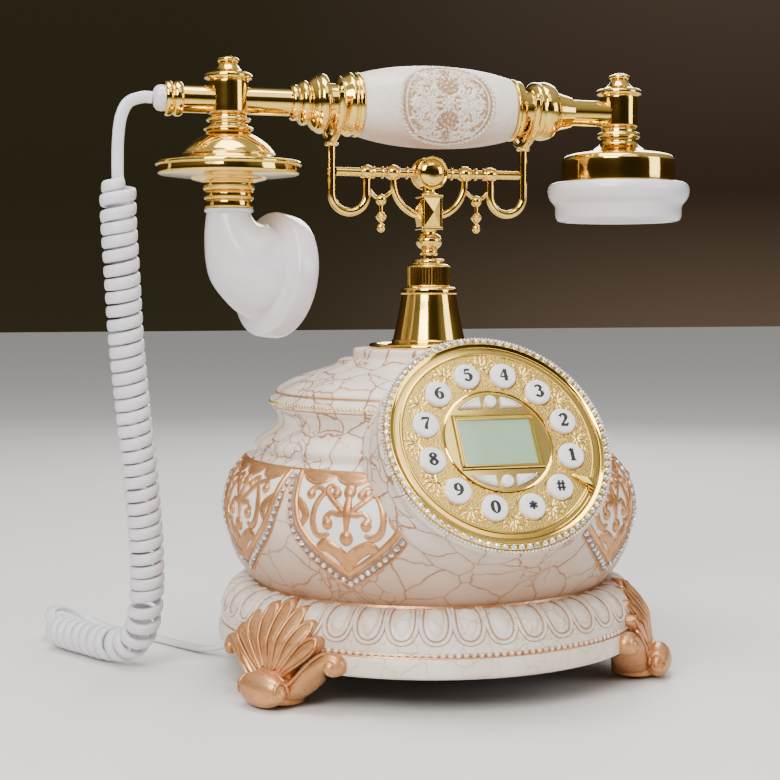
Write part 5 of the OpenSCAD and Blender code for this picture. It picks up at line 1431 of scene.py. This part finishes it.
put(bar, lathe([(0, BLOCK_TOP - 0.2), (4.2, BLOCK_TOP - 0.2, 1), (4.2, BLOCK_TOP + 0.5),
                (3.0, BLOCK_TOP + 1.2), (2.9, BLOCK_TOP + 4), (2.9, BAR_Z - 4), (0, BAR_Z - 4)],
               28))
make("bar_turned", bar, UPRIGHT, mirror_gold, "cradle", cad=["cradle_bar"])

# %% [markdown]
# A hook goes down from the bar, round and up to a yoke that holds the handset. Rod and yoke are
# half circles with straight legs, so their points are worked out from the radius. The second
# fork is the first one mirrored.

# %% Bend one fork and mirror it
HOOK_R, HOOK_LEG, YOKE_R, YOKE_ROD = 8.2, 9.9, 18.3, 1.6
hook_z = BAR_Z - HOOK_LEG
yoke_z = HANDSET_Z + 2
yoke_foot = yoke_z - YOKE_R
inner_x = FORK_X - 2 * HOOK_R
hook_line = [(inner_x, 0, BAR_Z - 3.2, ROD_R), (inner_x, 0, hook_z + 3, ROD_R)]
hook_line += [(FORK_X - HOOK_R - HOOK_R * math.cos(a), 0, hook_z - HOOK_R * math.sin(a), ROD_R)
              for a in (math.pi * k / 20 for k in range(21))]
hook_line += [(FORK_X, 0, hook_z + 3, ROD_R), (FORK_X, 0, yoke_foot, ROD_R)]
yoke_line = [(FORK_X, -YOKE_R, yoke_z + 2, YOKE_ROD)]
yoke_line += [(FORK_X, -YOKE_R * math.cos(a), yoke_z - YOKE_R * math.sin(a), YOKE_ROD)
              for a in (math.pi * k / 30 for k in range(31))]
yoke_line += [(FORK_X, YOKE_R, yoke_z + 2, YOKE_ROD)]
one_fork = joined(rod(hook_line, sides=16, smooth=False, up=(0, 1, 0)),
                  rod(yoke_line, sides=14, smooth=False, up=(1, 0, 0)),
                  put(bmesh.new(), ring(ROD_R + 0.6, 0, 0.8, 24, 8),
                      Matrix.Translation((FORK_X, 0, yoke_foot - 1.4))))
for y in (-YOKE_R, YOKE_R):
    put(one_fork, bead(1.95, place=(FORK_X, y, yoke_z + 2), sides=16, rings=10))
saddle = lathe([(9.5, -1.1), (13.2, -1.1, 1), (13.7, -0.6), (13.7, 0.6), (13.2, 1.1, 1),
    (9.5, 1.1, 1), (9.5, -1.1)], 64)
bmesh.ops.transform(saddle, matrix=Matrix.Translation((FORK_X, 0, HANDSET_Z)) @ spun(90, "Y"),
                    verts=saddle.verts)
bmesh.ops.bisect_plane(saddle, geom=saddle.verts[:] + saddle.edges[:] + saddle.faces[:],
                       plane_co=(0, 0, HANDSET_Z - 5.5), plane_no=(0, 0, 1), clear_outer=True)
bmesh.ops.holes_fill(saddle, edges=[e for e in saddle.edges if e.is_boundary])
put(one_fork, saddle)
put(one_fork, brick((2.2, 6, 6), (FORK_X, 0, yoke_foot + 1.6), 0.4))
forks = put(bmesh.new(), one_fork, Matrix(), Matrix.Scale(-1, 4, (1, 0, 0)))
make("forks_bent", forks, UPRIGHT, mirror_gold, "cradle", cad=["cradle_forks"])

# %% [markdown]
# Between hook and brace hangs a turned drop on two thin bent rods. The rods end inside the
# metal on each side, so nothing floats.

# %% Hang the drops
DROP_X = 23.0
drops = bmesh.new()
for side in (-1, 1):
    x = side * DROP_X
    for reach, drop in ((FORK_X - 2 * HOOK_R - 1.4 - DROP_X, 8.4), (-6.3, 7.2)):
        put(drops, rod([(x + side * reach, 0, BAR_Z - drop, 1.0),
                        (x + side * reach * 0.5, 0, BAR_Z - drop - 2.6, 0.85),
                        (x, 0, BAR_Z - 12.2, 0.9)], sides=10, cuts=4, up=(0, 1, 0)))
    put(drops, lathe([(0, -27), (0.9, -26.8), (1.7, -25.9), (2, -24.8), (1.6, -23.6),
        (0.8, -22.9, 1), (0.8, -22.4), (2.1, -20.9), (2.6, -19.9, 1), (2.1, -19), (0.95, -17.6, 1),
        (0.9, -14.8, 1), (1.5, -14.4, 1), (2.3, -13.4), (2.5, -12.2), (2.2, -10.9),
                      (1.1, -10), (0, -9.8)], 22), Matrix.Translation((x, 0, BAR_Z)))
make("drops_turned", drops, UPRIGHT, mirror_gold, "cradle", cad=["cradle_pendants"])

# %% [markdown]
# ## The handset
# A polished tube carries a carved grip between two beaded necks, and a post at each end for
# the mouthpiece and the earpiece. All but the horn is turned work about the tube or the posts.

# %% Turn the tube and the cord's boss
TUBE_END = MOUTH_X - AXIS_X - 20.5
EAR_REACH = EAR_X - AXIS_X
tube_side = [(5, -7.7), (7.1, -7.7, 1), (7.6, -7.2), (7.75, -6.2), (7.5, -5), (6.7, -4.2, 1),
    (7.5, -3.4), (7.75, -2.2), (7.55, -0.9), (7, -0.1), (6, 0, 1)]
boss_side = [(0, -12.7), (2, -12.6), (3.6, -12.2), (5, -11.2), (5.6, -9.9), (5.7, -8.4),
    (5.6, -7.7, 1), (4.9, -7.7, 1), (4.9, -2, 1), (0, -2)]
make("tube_polished", lathe([(r, TUBE_END + z, *sharp) for r, z, *sharp in tube_side]
     + [(6.0, EAR_REACH, 1), (5.0, EAR_REACH, 1), (5.0, TUBE_END - 7.7)], 64), ALONG, mirror_gold,
     "handset", cad=["handset_tube"])
make("cord_boss_moulded", lathe([(r, TUBE_END + z, *sharp) for r, z, *sharp in boss_side], 40),
     ALONG, gloss_white, "handset", cad=["cord_boss"])

# %% [markdown]
# A neck of rounds, hollows and steps joins the tube to the grip on each side. The two are not
# the same, as on the real handset, so each has its own outline.

# %% Turn the necks
neck_outline = [(6.05, 33.85, 1), (13.6, 33.85, 1), (14.3, 34.4), (14.35, 35.4), (14.2, 35.9, 1),
    (14.2, 36.2), (13.5, 36.4, 1), (13.5, 37.2), (14.2, 38), (14.2, 39.2), (13.6, 40.4),
    (12.9, 41.6), (12.4, 42.6, 1), (12.4, 43.3), (9.4, 44.2, 1), (9.2, 44.5), (9.2, 47.9),
    (9.4, 48.2, 1), (11.8, 49.2, 1), (12.9, 49.8), (13.3, 51), (13.2, 52.4), (12.7, 53.4),
    (12, 54.2, 1), (11.8, 54.9), (10.2, 56.4), (8.7, 57.4, 1), (9.5, 57.9), (9.9, 59), (9.8, 60.2),
    (9, 61.2), (7.7, 62, 1), (7.9, 62.8), (8, 63.8), (7.8, 64.7), (7, 65.5, 1), (6.05, 65.5, 1)]
make("neck_mouth_side", lathe([(p[0], -p[1], *p[2:]) for p in neck_outline] + [(6.05, -33.85)], 72),
     ALONG, mirror_gold, "handset", cad=["neck_left"])
make("neck_ear_side", lathe([(6.05, 38.65, 1), (13.5, 38.65, 1), (14.1, 39.2), (14.1, 40),
     (13.5, 40.8, 1), (13.4, 42.6), (12.9, 43.3), (9.4, 44.2, 1), (9.2, 44.5), (9.2, 47.9),
     (9.4, 48.2, 1), (11.8, 49, 1), (13, 50.2), (13.25, 51.6), (12.95, 52.9, 1), (13.3, 53.8),
     (13.45, 55.2), (13.2, 57), (12.6, 58.7, 1), (11.9, 59.8), (10.4, 60.9), (9, 62, 1),
     (8.9, 62.8), (8.3, 64.6), (7.8, 66.6), (7.3, 68.6), (7, 69.6, 1), (6.05, 69.6, 1),
     (6.05, 38.65)], 72), ALONG, mirror_gold, "handset", cad=["neck_right"])

# %% [markdown]
# The tube ends in two upright posts with a knob on each. Both posts are alike, so one outline
# is turned once and set down at two places.

# %% Turn the posts and finials
def at_posts(one):
    """One shape at the mouthpiece's post and again at the earpiece's."""
    return put(bmesh.new(), one, MOUTH, EAR)


make("posts_turned", at_posts(lathe([(0, -6.3), (8, -6.3, 1), (8.7, -5.9), (8.95, -4.8),
     (8.95, 0), (8.95, 7), (8.8, 8.2, 1), (9.2, 8.6), (10.3, 9), (10.7, 9.8), (10.5, 10.9),
     (9.6, 11.6, 1), (7.9, 11.9), (6.3, 12.7), (5.3, 13.7), (4.6, 14.6), (4.3, 15.1, 1),
     (0, 15.1)], 72)), Matrix(),
     mirror_gold, "handset", cad=["handset_tees"])
make("finials_turned", at_posts(lathe([(0, 15.1), (3.6, 15.1, 1), (3.9, 15.5), (3.5, 15.9, 1),
     (4.2, 16.2), (4.75, 17.1), (4.5, 18), (3.6, 18.5, 1), (2.9, 18.7), (1.8, 19.15), (0, 19.2)],
     40)), Matrix(), mirror_gold, "handset", cad=["finials"])

# %% [markdown]
# The grip is ivory resin that swells to its middle. Front and back carry an oval of carved
# scrollwork in a rope border, drawn flat and draped as the panels were.

# %% Turn the grip
GRIP_MID, GRIP_END, GRIP_CUTS = 2.4, 34.6, 9
grip_line = [(6.1, -36.25, 1), (12.6, -36.25, 1), (13.5, -36), (14.3, -35.3)]
for k in range(-GRIP_CUTS, GRIP_CUTS + 1):
    t = k / GRIP_CUTS
    grip_line.append((15 + 0.2 - 0.7 * abs(t) + 3.4 * (1 - abs(t) ** 2.6), t * GRIP_END))
grip_line += [(14.3, 35.3), (13.5, 36), (12.6, 36.25, 1), (6.1, 36.25, 1), (6.1, -36.25)]
grip_place = ALONG @ Matrix.Translation((0, 0, GRIP_MID))
make("grip_turned", lathe(grip_line, 112), grip_place, grip_ivory, "handset",
     cad=["grip"])

# %% [markdown]
# The carving is acanthus: stems that end in a curl, with small leaves off their backs. One
# quarter of it is drawn and mirrored, as the carver of the model would have done.

# %% Draw a stem with leaves
LEAVES_IN_GROUND, GROUND_REACH, GOLDEN_ANGLE = 190, 0.84, 2.399963


def leafy(points):
    """A curling stem with three leaves off its back."""
    stem = flat_rod(points, sides=6, cuts=3, flat=1.0)
    for k, (x, y, r) in enumerate(points[1:-1]):
        (px, py, _), (nx, ny, _) = points[k], points[k + 2]
        angle = math.degrees(math.atan2(ny - py, nx - px))
        put(stem, put(bmesh.new(), bead((1.7, 0.75, 0.75), place=(1.5, 0, 0), sides=8, rings=5),
                      Matrix.Translation((x, y, 0)) @ spun(angle + (55 if k % 2 else -60))))
    return stem


# %% Carve one oval flat
OVAL_W, OVAL_H, ROPE = 22.0, 21.0, 62
oval = bmesh.new()
for k in range(ROPE):
    a = 2 * math.pi * k / ROPE
    put(oval, bead((1.5, 0.8, 0.95), sides=8, rings=5),
        Matrix.Translation((OVAL_W * math.cos(a), OVAL_H * math.sin(a), 0))
        @ spun(math.degrees(a) + 58))
put(oval, flat_rod([(19.6 * math.cos(math.pi * k / 12), 18.7 * math.sin(math.pi * k / 12), 0.5)
                    for k in range(24)], sides=6, cuts=3, closed=True, flat=1.1))
quarter = joined(
    leafy(volute(9.2, 6.4, 5.2, 1.35, 200, 0.85, 1)),
    leafy(volute(13.4, 1.2, 3.0, 1.2, 90, 0.7, -1)),
    leafy(volute(4.2, 14.2, 3.4, 1.2, 300, 0.75, 1)),
    leafy(volute(10.6, 13.2, 2.7, 1.1, 240, 0.65, -1)),
    leafy([(1.2, 3, 0.8), (4.6, 4.6, 0.85), (6.2, 8.6, 0.8), (5.6, 12, 0.6)]),
    leafy([(3, 1.2, 0.8), (7.4, 1.4, 0.85), (11.4, 4.2, 0.75), (16, 5.4, 0.6)]),
    leafy([(8, 10.6, 0.7), (12.4, 9.4, 0.75), (15.6, 6.6, 0.6), (17.4, 3.6, 0.45)]),
    leafy([(1, 18, 0.5), (6.4, 17, 0.6), (11.6, 14.8, 0.6), (15.4, 10.6, 0.5)]))
put(quarter, leafy(volute(9.6, 0.6, 3.0, 1.2, 180, 0.75, 1)))
put(quarter, leafy([(12.8, 0.4, 0.7), (15.4, 1.8, 0.75), (17.8, 0.5, 0.5)]))
for sx, sy in ((1, 1), (-1, 1), (1, -1), (-1, -1)):
    put(oval, quarter.copy(), Matrix.Diagonal((sx, sy, 1, 1)))
quarter.free()
print("oval with its scrolls:", len(oval.faces), "faces")

# %% [markdown]
# Between the scrolls the ground is dappled with small leaves. Steps of the golden angle spread
# them evenly without rows, and a flower of eight petals covers the middle.

# %% Fill the oval and drape it on both sides
for k in range(6, LEAVES_IN_GROUND):
    reach, a = math.sqrt(k / LEAVES_IN_GROUND) * GROUND_REACH, k * GOLDEN_ANGLE
    put(oval, bead((1, 0.42, 0.62), sides=6, rings=5),
        Matrix.Translation((OVAL_W * reach * math.cos(a), OVAL_H * reach * math.sin(a), 0))
        @ spun(k * 67))
for k in range(8):
    put(oval, bead((1.8, 0.95, 0.9), place=(2.1, 0, 0), sides=8, rings=6), spun(45 * k))
put(oval, bead((1.2, 1.2, 1.2), sides=12, rings=8))
ground = lathe([(0, 0.3), (0.2, 0.3), (0.4, 0.3), (0.6, 0.3), (0.8, 0.3), (0.96, 0.3), (1, 0.1),
                (1, -0.5), (0, -0.5)], 56, exact=True)
bmesh.ops.transform(ground, matrix=Matrix.Diagonal((OVAL_W - 0.6, OVAL_H - 0.6, 1, 1)),
                    verts=ground.verts)
grip_skin = [(r, -z) for r, z in grip_line[4:23]]
ovals, grounds = bmesh.new(), bmesh.new()
for turn in (0, 180):
    for flat, target in ((oval.copy(), ovals), (ground.copy(), grounds)):
        bmesh.ops.transform(flat, matrix=Matrix.Translation((0, -GRIP_END - 1.0, 0)) @ spun(90),
                            verts=flat.verts)
        put(target, drape(flat, grip_skin, math.radians(turn)))
oval.free()
ground.free()
oval_place = grip_place @ Matrix.Scale(-1, 4, (0, 0, 1))
make("grip_ovals", ovals, oval_place, relief_ivory, "handset")
# The ground under the carving is dark brown: painted shade in the recess, partly brown rubbed in.
make("grip_oval_grounds", grounds, oval_place, rubbed_and_shaded_ivory, "handset")

# %% [markdown]
# ## Mouthpiece and earpiece
# The mouthpiece hangs from a moulded gold dish with many steps, all turned round the post.

# %% Turn the dish
make("dish_turned", lathe([(2, -6.3, 1), (7.3, -6.3, 1), (8, -6.8), (8.2, -7.6, 1), (9.4, -7.9),
     (9.95, -8.6), (9.4, -9.4), (8.5, -9.8, 1), (8.4, -10.6), (8.6, -11.2, 1), (10.2, -11.7),
     (11.1, -12.5), (10.6, -13.3), (9.5, -13.7, 1), (10.4, -14.6), (13.6, -16.5), (16.8, -18.9),
     (19.2, -21.4), (20.4, -23.2, 1), (20.9, -23.4), (21, -23.9), (22.6, -24.6), (25.6, -25.5),
     (28.4, -26.2, 1), (31.6, -26.8), (32.3, -27.8), (32, -28.6), (31, -28.9, 1), (31.2, -31.6),
     (30.3, -32.6), (28, -33, 1), (22, -33.6), (17, -33.9, 1), (16.5, -34.4), (15.6, -34.9),
     (12.2, -35.7, 1), (11.7, -36), (11.6, -37.4), (11.3, -38.8), (10.4, -39.6, 1), (10.9, -40),
     (11.15, -41.4), (10.9, -43), (9.9, -43.5, 1), (10.4, -43.9), (10.6, -45.4), (10.5, -46.8),
     (9.9, -47.2, 1), (2, -47.2, 1), (2, -6.3)], 112), MOUTH, mirror_gold,
     "handset", cad=["mouth_dish"])

# %% [markdown]
# The horn is a white tube that bends forward and opens to a wide lip. A lathe can't bend, so
# its rings are placed one by one along the bend, outside and then back inside.

# %% Bend the horn
# Each station is how far forward, how far down, the tilt in degrees and the radius.
NECK_FOOT, HORN_TURN, HORN_WALL = -47.2, 18, 2.0
collar = [(0, 0, 0, 10.4), (0, 0.2, 0, 10.8), (0, 1.3, 0, 10.8), (0, 1.6, 0, 10.5),
    (0, 1.8, 0, 9.9)]
stations = [(0, 2, 0, 9.9), (0, 3, 0, 10), (0.3, 7, 12, 11.1), (1.2, 11.2, 25, 12.8),
    (2.8, 15.4, 38, 15.2), (5, 19.4, 51, 17.7), (8.6, 23.4, 63, 19.1), (12.6, 26.4, 72, 20.5),
    (15.4, 27.6, 77, 21.2)]
lip = [(15.9, 27.8, 79, 21.3), (16.2, 27.9, 80, 21.8), (16.8, 28.1, 81, 23),
       (17.6, 28.25, 81.5, 25), (18.2, 28.4, 82, 26.6), (18.5, 28.45, 82, 27.4),
       (18.9, 28.5, 82, 27.85), (19.5, 28.6, 82, 28.05), (22.6, 29.1, 82, 28.05),
       (26.8, 29.8, 82, 27.8), (28.4, 30, 82, 27.4), (29.3, 30.1, 82, 26.6),
       (29.6, 30.2, 82, 25.5), (29.4, 30.2, 82, 24.2), (28.6, 30.1, 82, 22.8),
       (27, 29.9, 82, 21.7), (21.5, 29, 82, 20.4)]
outside = through(stations, 5)
inside = [[f, d, t, r - HORN_WALL] for f, d, t, r in outside]


def horn_place(station):
    """The place, tilt and size of one ring."""
    forward, down, tilt, r = station
    return (Matrix.Translation((forward, 0, -down)) @ Matrix.Rotation(math.radians(-tilt), 4, "Y")
            @ Matrix.Diagonal((r, r, 1, 1)))


horn = swept([horn_place(s) for s in collar + outside + lip + inside[::-1]], 72, closed=True)
make("horn_moulded", horn, MOUTH @ Matrix.Translation((0, 0, NECK_FOOT)) @ spun(HORN_TURN),
     gloss_white, "handset", cad=["mouth_horn"], sharp=32)

# %% [markdown]
# The earpiece is a gold bell over a white cap whose face is dished and has nine sound holes.
# The holes are cut with one boolean from nine pins joined to one shape.

# %% Turn the bell and the ear cap
SOUND_HOLES, HOLE_CIRCLE = 8, 8
make("bell_turned", lathe([(2, -6.3, 1), (7.3, -6.3, 1), (8.2, -7), (8.5, -8.4, 1), (9.6, -8.9),
     (10.25, -10.3), (9.6, -11.4), (8.5, -11.9, 1), (8.5, -13), (9.4, -14.6), (11.6, -16.2),
     (13, -16.9, 1), (16, -17.6), (20.5, -18.4), (23.6, -19.1), (25.6, -20), (26.6, -21.2),
     (27, -23), (27, -31.2), (26.8, -32, 1), (25, -32, 1), (25, -22.9, 1), (22.6, -20.7, 1),
     (2, -20.7, 1), (2, -6.3)], 112), EAR, mirror_gold, "handset",
     cad=["ear_bell"])
cap = lathe([(25, -32, 1), (27.2, -32), (29.2, -32.1), (31.4, -32.5), (32.9, -33.9),
    (33.4, -36.2), (33.1, -38.4), (32.2, -40.4), (30.8, -42), (30.1, -43.2), (29.8, -45),
    (29.7, -48), (29, -49.6), (27.6, -50.5), (25.6, -50.5), (24, -49.4), (21.8, -47.6),
    (17.5, -46.2), (11.9, -45.3), (6, -44.9), (0, -44.8), (0, -42.7, 1), (21.5, -42.7, 1),
    (21.5, -36.1, 1), (25, -32)], 112)
holes = bmesh.new()
for k in range(SOUND_HOLES + 1):
    reach = HOLE_CIRCLE if k < SOUND_HOLES else 0
    put(holes, lathe([(0, -50), (1.2, -50), (1.2, -40), (0, -40)], 16, exact=True),
        spun(45 * k) @ Matrix.Translation((reach, 0, 0)))
make("ear_cap_moulded", carved(cap, holes), EAR, gloss_white, "handset",
     cad=["ear_cap"])

# %% [markdown]
# ## Finishes on the solids that stay
# What sits under the base or inside keeps its CAD shape and takes a finish. The dial plate
# keeps its shape too, but its finish tells the polished band and centre from the stamped field.

# %% Refinish the solids
def refinish(name, material):
    """Puts one material on a CAD solid that keeps its shape."""
    solid = nodes[name]
    if not solid.material_slots:
        solid.data.materials.append(material)
    for slot in solid.material_slots:
        slot.material = material


KEPT_SOLIDS = {
    "bottom_plate": dark_plastic, "foot_pads": black_rubber, "plate_screws": spring_steel,
    "screen_glass": screen_face, "screen_module": dark_plastic, "keypad_membrane": grey_rubber,
    "keypad_board": board_green, "main_board": board_green, "ringer": dark_plastic,
    "hook_switch": dark_plastic, "hook_spring": spring_steel, "sockets": dark_plastic,
    "cord_plug": gloss_white, "microphone": black_rubber, "receiver": dark_plastic}
for name, material in KEPT_SOLIDS.items():
    refinish(name, material)
print("solids refinished:", len(KEPT_SOLIDS))

# %% [markdown]
# The dial plate is polished on its band and its centre, and stippled between the two rings. The
# distance from the dial's own axis tells which is which: two ramps on it make a mask for the
# field, and the mask sets the grain, the darker gold and the roughness.

# %% Finish the dial plate
plate_gold, plate_tree, plate_shader = finish("dial plate gold", (0.90, 0.60, 0.15), 0.22, 1.0)
plate_place = plate_tree.nodes.new("ShaderNodeTexCoord")
plate_map = plate_tree.nodes.new("ShaderNodeMapping")
plate_map.vector_type = "TEXTURE"
plate_map.inputs["Location"].default_value = DIAL.translation * MM
plate_map.inputs["Rotation"].default_value = (math.pi / 2 - DIAL_TILT, 0, 0)
wire(plate_tree, plate_place.outputs["Object"], plate_map.inputs["Vector"])
flat_place = plate_tree.nodes.new("ShaderNodeVectorMath")
flat_place.operation = "MULTIPLY"
flat_place.inputs[1].default_value = (1, 1, 0)
wire(plate_tree, plate_map.outputs["Vector"], flat_place.inputs[0])
reach = plate_tree.nodes.new("ShaderNodeVectorMath")
reach.operation = "LENGTH"
wire(plate_tree, flat_place.outputs["Vector"], reach.inputs[0])
from_middle = reach.outputs["Value"]
FIELD_FROM, FIELD_TO, FIELD_EDGE = 0.0232, 0.0405, 0.0006
field_mask = maths(plate_tree, "MULTIPLY",
                   ramp(plate_tree, from_middle, FIELD_FROM, FIELD_FROM + FIELD_EDGE),
                   ramp(plate_tree, from_middle, FIELD_TO, FIELD_TO + FIELD_EDGE, 1.0, 0.0))
plate_marks = placed(plate_tree, smear, Size=60.0, Grain=2600.0)
stipple = node(plate_tree, "ShaderNodeTexVoronoi", Scale=1500.0)
wire(plate_tree, plate_place.outputs["Object"], stipple.inputs["Vector"])
field_height = maths(plate_tree, "MULTIPLY", field_mask, stipple.outputs["Distance"])
POLISHED, STIPPLED = 0.12, 0.14
wire(plate_tree,
     maths(plate_tree, "ADD", POLISHED, maths(plate_tree, "MULTIPLY", field_mask, STIPPLED)),
     plate_shader.inputs["Roughness"])
wire(plate_tree, mixed(plate_tree, maths(plate_tree, "MULTIPLY", field_mask,
                                        plate_marks.outputs["Grain"]),
                       (0.92, 0.63, 0.17), (0.70, 0.44, 0.10)), plate_shader.inputs["Base Color"])
bumped(plate_tree, plate_shader, field_height, 0.35, 0.0002)
refinish("dial_plate", plate_gold)
print("dial plate:", len(plate_tree.nodes), "nodes")

# %% [markdown]
# ## Floor and light
# The floor is one plain pale sheet, larger than the view.

# %% Lay the floor
floor_shape = bmesh.new()
bmesh.ops.create_grid(floor_shape, x_segments=1, y_segments=1, size=6)
floor_mesh = bpy.data.meshes.new("floor")
floor_shape.to_mesh(floor_mesh)
floor_shape.free()
floor_paint, floor_tree, floor_shader = finish("pale floor", (0.78, 0.76, 0.73), 0.75)
floor_marks = placed(floor_tree, smear, Size=3.0, Grain=300.0)
wire(floor_tree, mixed(floor_tree, floor_marks.outputs["Patch"], (0.79, 0.77, 0.74),
                       (0.76, 0.74, 0.71)), floor_shader.inputs["Base Color"])
floor_mesh.materials.append(floor_paint)
floor = bpy.data.objects.new("floor", floor_mesh)
bpy.context.scene.collection.objects.link(floor)
print("floor:", len(floor_mesh.polygons), "face")

# %% [markdown]
# A big soft key light hangs at the front left, with a weak fill on the other side, a top light,
# a small one for the dial and one from behind that parts the object from the floor.

# %% Hang the lights
def area_light(name, place, aim, size, power, colour=(1, 1, 1)):
    """A square lamp at one place, turned towards another."""
    light = bpy.data.lights.new(name, "AREA")
    light.energy = power
    light.color = colour
    light.size = size
    lamp = bpy.data.objects.new(name, light)
    bpy.context.scene.collection.objects.link(lamp)
    lamp.location = place
    lamp.rotation_euler = (Vector(aim) - Vector(place)).to_track_quat("-Z", "Y").to_euler()
    return lamp


area_light("key light", (-0.75, -0.95, 0.95), (0, 0, 0.13), 0.7, 24, (1.0, 0.98, 0.96))
area_light("fill light", (0.95, -0.7, 0.5), (0, 0, 0.13), 0.5, 4, (0.97, 0.98, 1.0))
area_light("top light", (-0.1, -0.1, 1.2), (0, 0, 0.1), 0.6, 12)
area_light("dial light", (0.12, -0.64, 1.0), (0, -0.09, 0.09), 0.5, 2)
area_light("back light", (0.5, 0.9, 0.7), (0, 0, 0.15), 0.5, 6)
print("lamps:", len(bpy.data.lights))

# %% [markdown]
# Mirror gold shows what is round it, so the sky is bright above and a warm dark brown at the
# horizon, with a dark patch in front. These give the dark bands that make metal read as gold.

# %% Colour the sky
world = bpy.data.worlds.new("studio")
bpy.context.scene.world = world
world.use_nodes = True
sky_tree = world.node_tree
sky = sky_tree.nodes["Background"]
sky_place = sky_tree.nodes.new("ShaderNodeTexCoord")
split = sky_tree.nodes.new("ShaderNodeSeparateXYZ")
wire(sky_tree, sky_place.outputs["Generated"], split.inputs[0])
shade = sky_tree.nodes.new("ShaderNodeValToRGB")
wire(sky_tree, maths(sky_tree, "MULTIPLY", maths(sky_tree, "ADD", split.outputs["Z"], 1.0), 0.5),
     shade.inputs["Fac"])
stops = [(0.0, (0.30, 0.26, 0.22)), (0.49, (0.16, 0.11, 0.075)), (0.53, (0.05, 0.03, 0.018)),
    (0.60, (0.10, 0.07, 0.05)), (0.70, (0.42, 0.40, 0.38)), (0.85, (0.75, 0.75, 0.75)),
    (1.0, (0.90, 0.90, 0.90))]
while len(shade.color_ramp.elements) < len(stops):
    shade.color_ramp.elements.new(0.5)
for element, (spot, colour) in zip(shade.color_ramp.elements, stops):
    element.position = spot
    element.color = (*colour, 1)
FRONT_DARK, SKY_STRENGTH = (0.035, 0.030, 0.014), 0.7
aside = ramp(sky_tree, maths(sky_tree, "ABSOLUTE", split.outputs["X"], 0.0), 0.18, 0.5, 0.08, 1.0)
lit = maths(sky_tree, "MAXIMUM", aside, ramp(sky_tree, split.outputs["Z"], 0.72, 0.92))
wire(sky_tree, mixed(sky_tree, lit, FRONT_DARK, shade.outputs["Color"]), sky.inputs["Color"])
sky.inputs["Strength"].default_value = SKY_STRENGTH
print("sky:", len(stops), "shades")

# %% [markdown]
# ## Faces made
# The number of faces made for the dressed pieces is printed at the end.

# %% Count the faces
print("faces made:", made_faces)
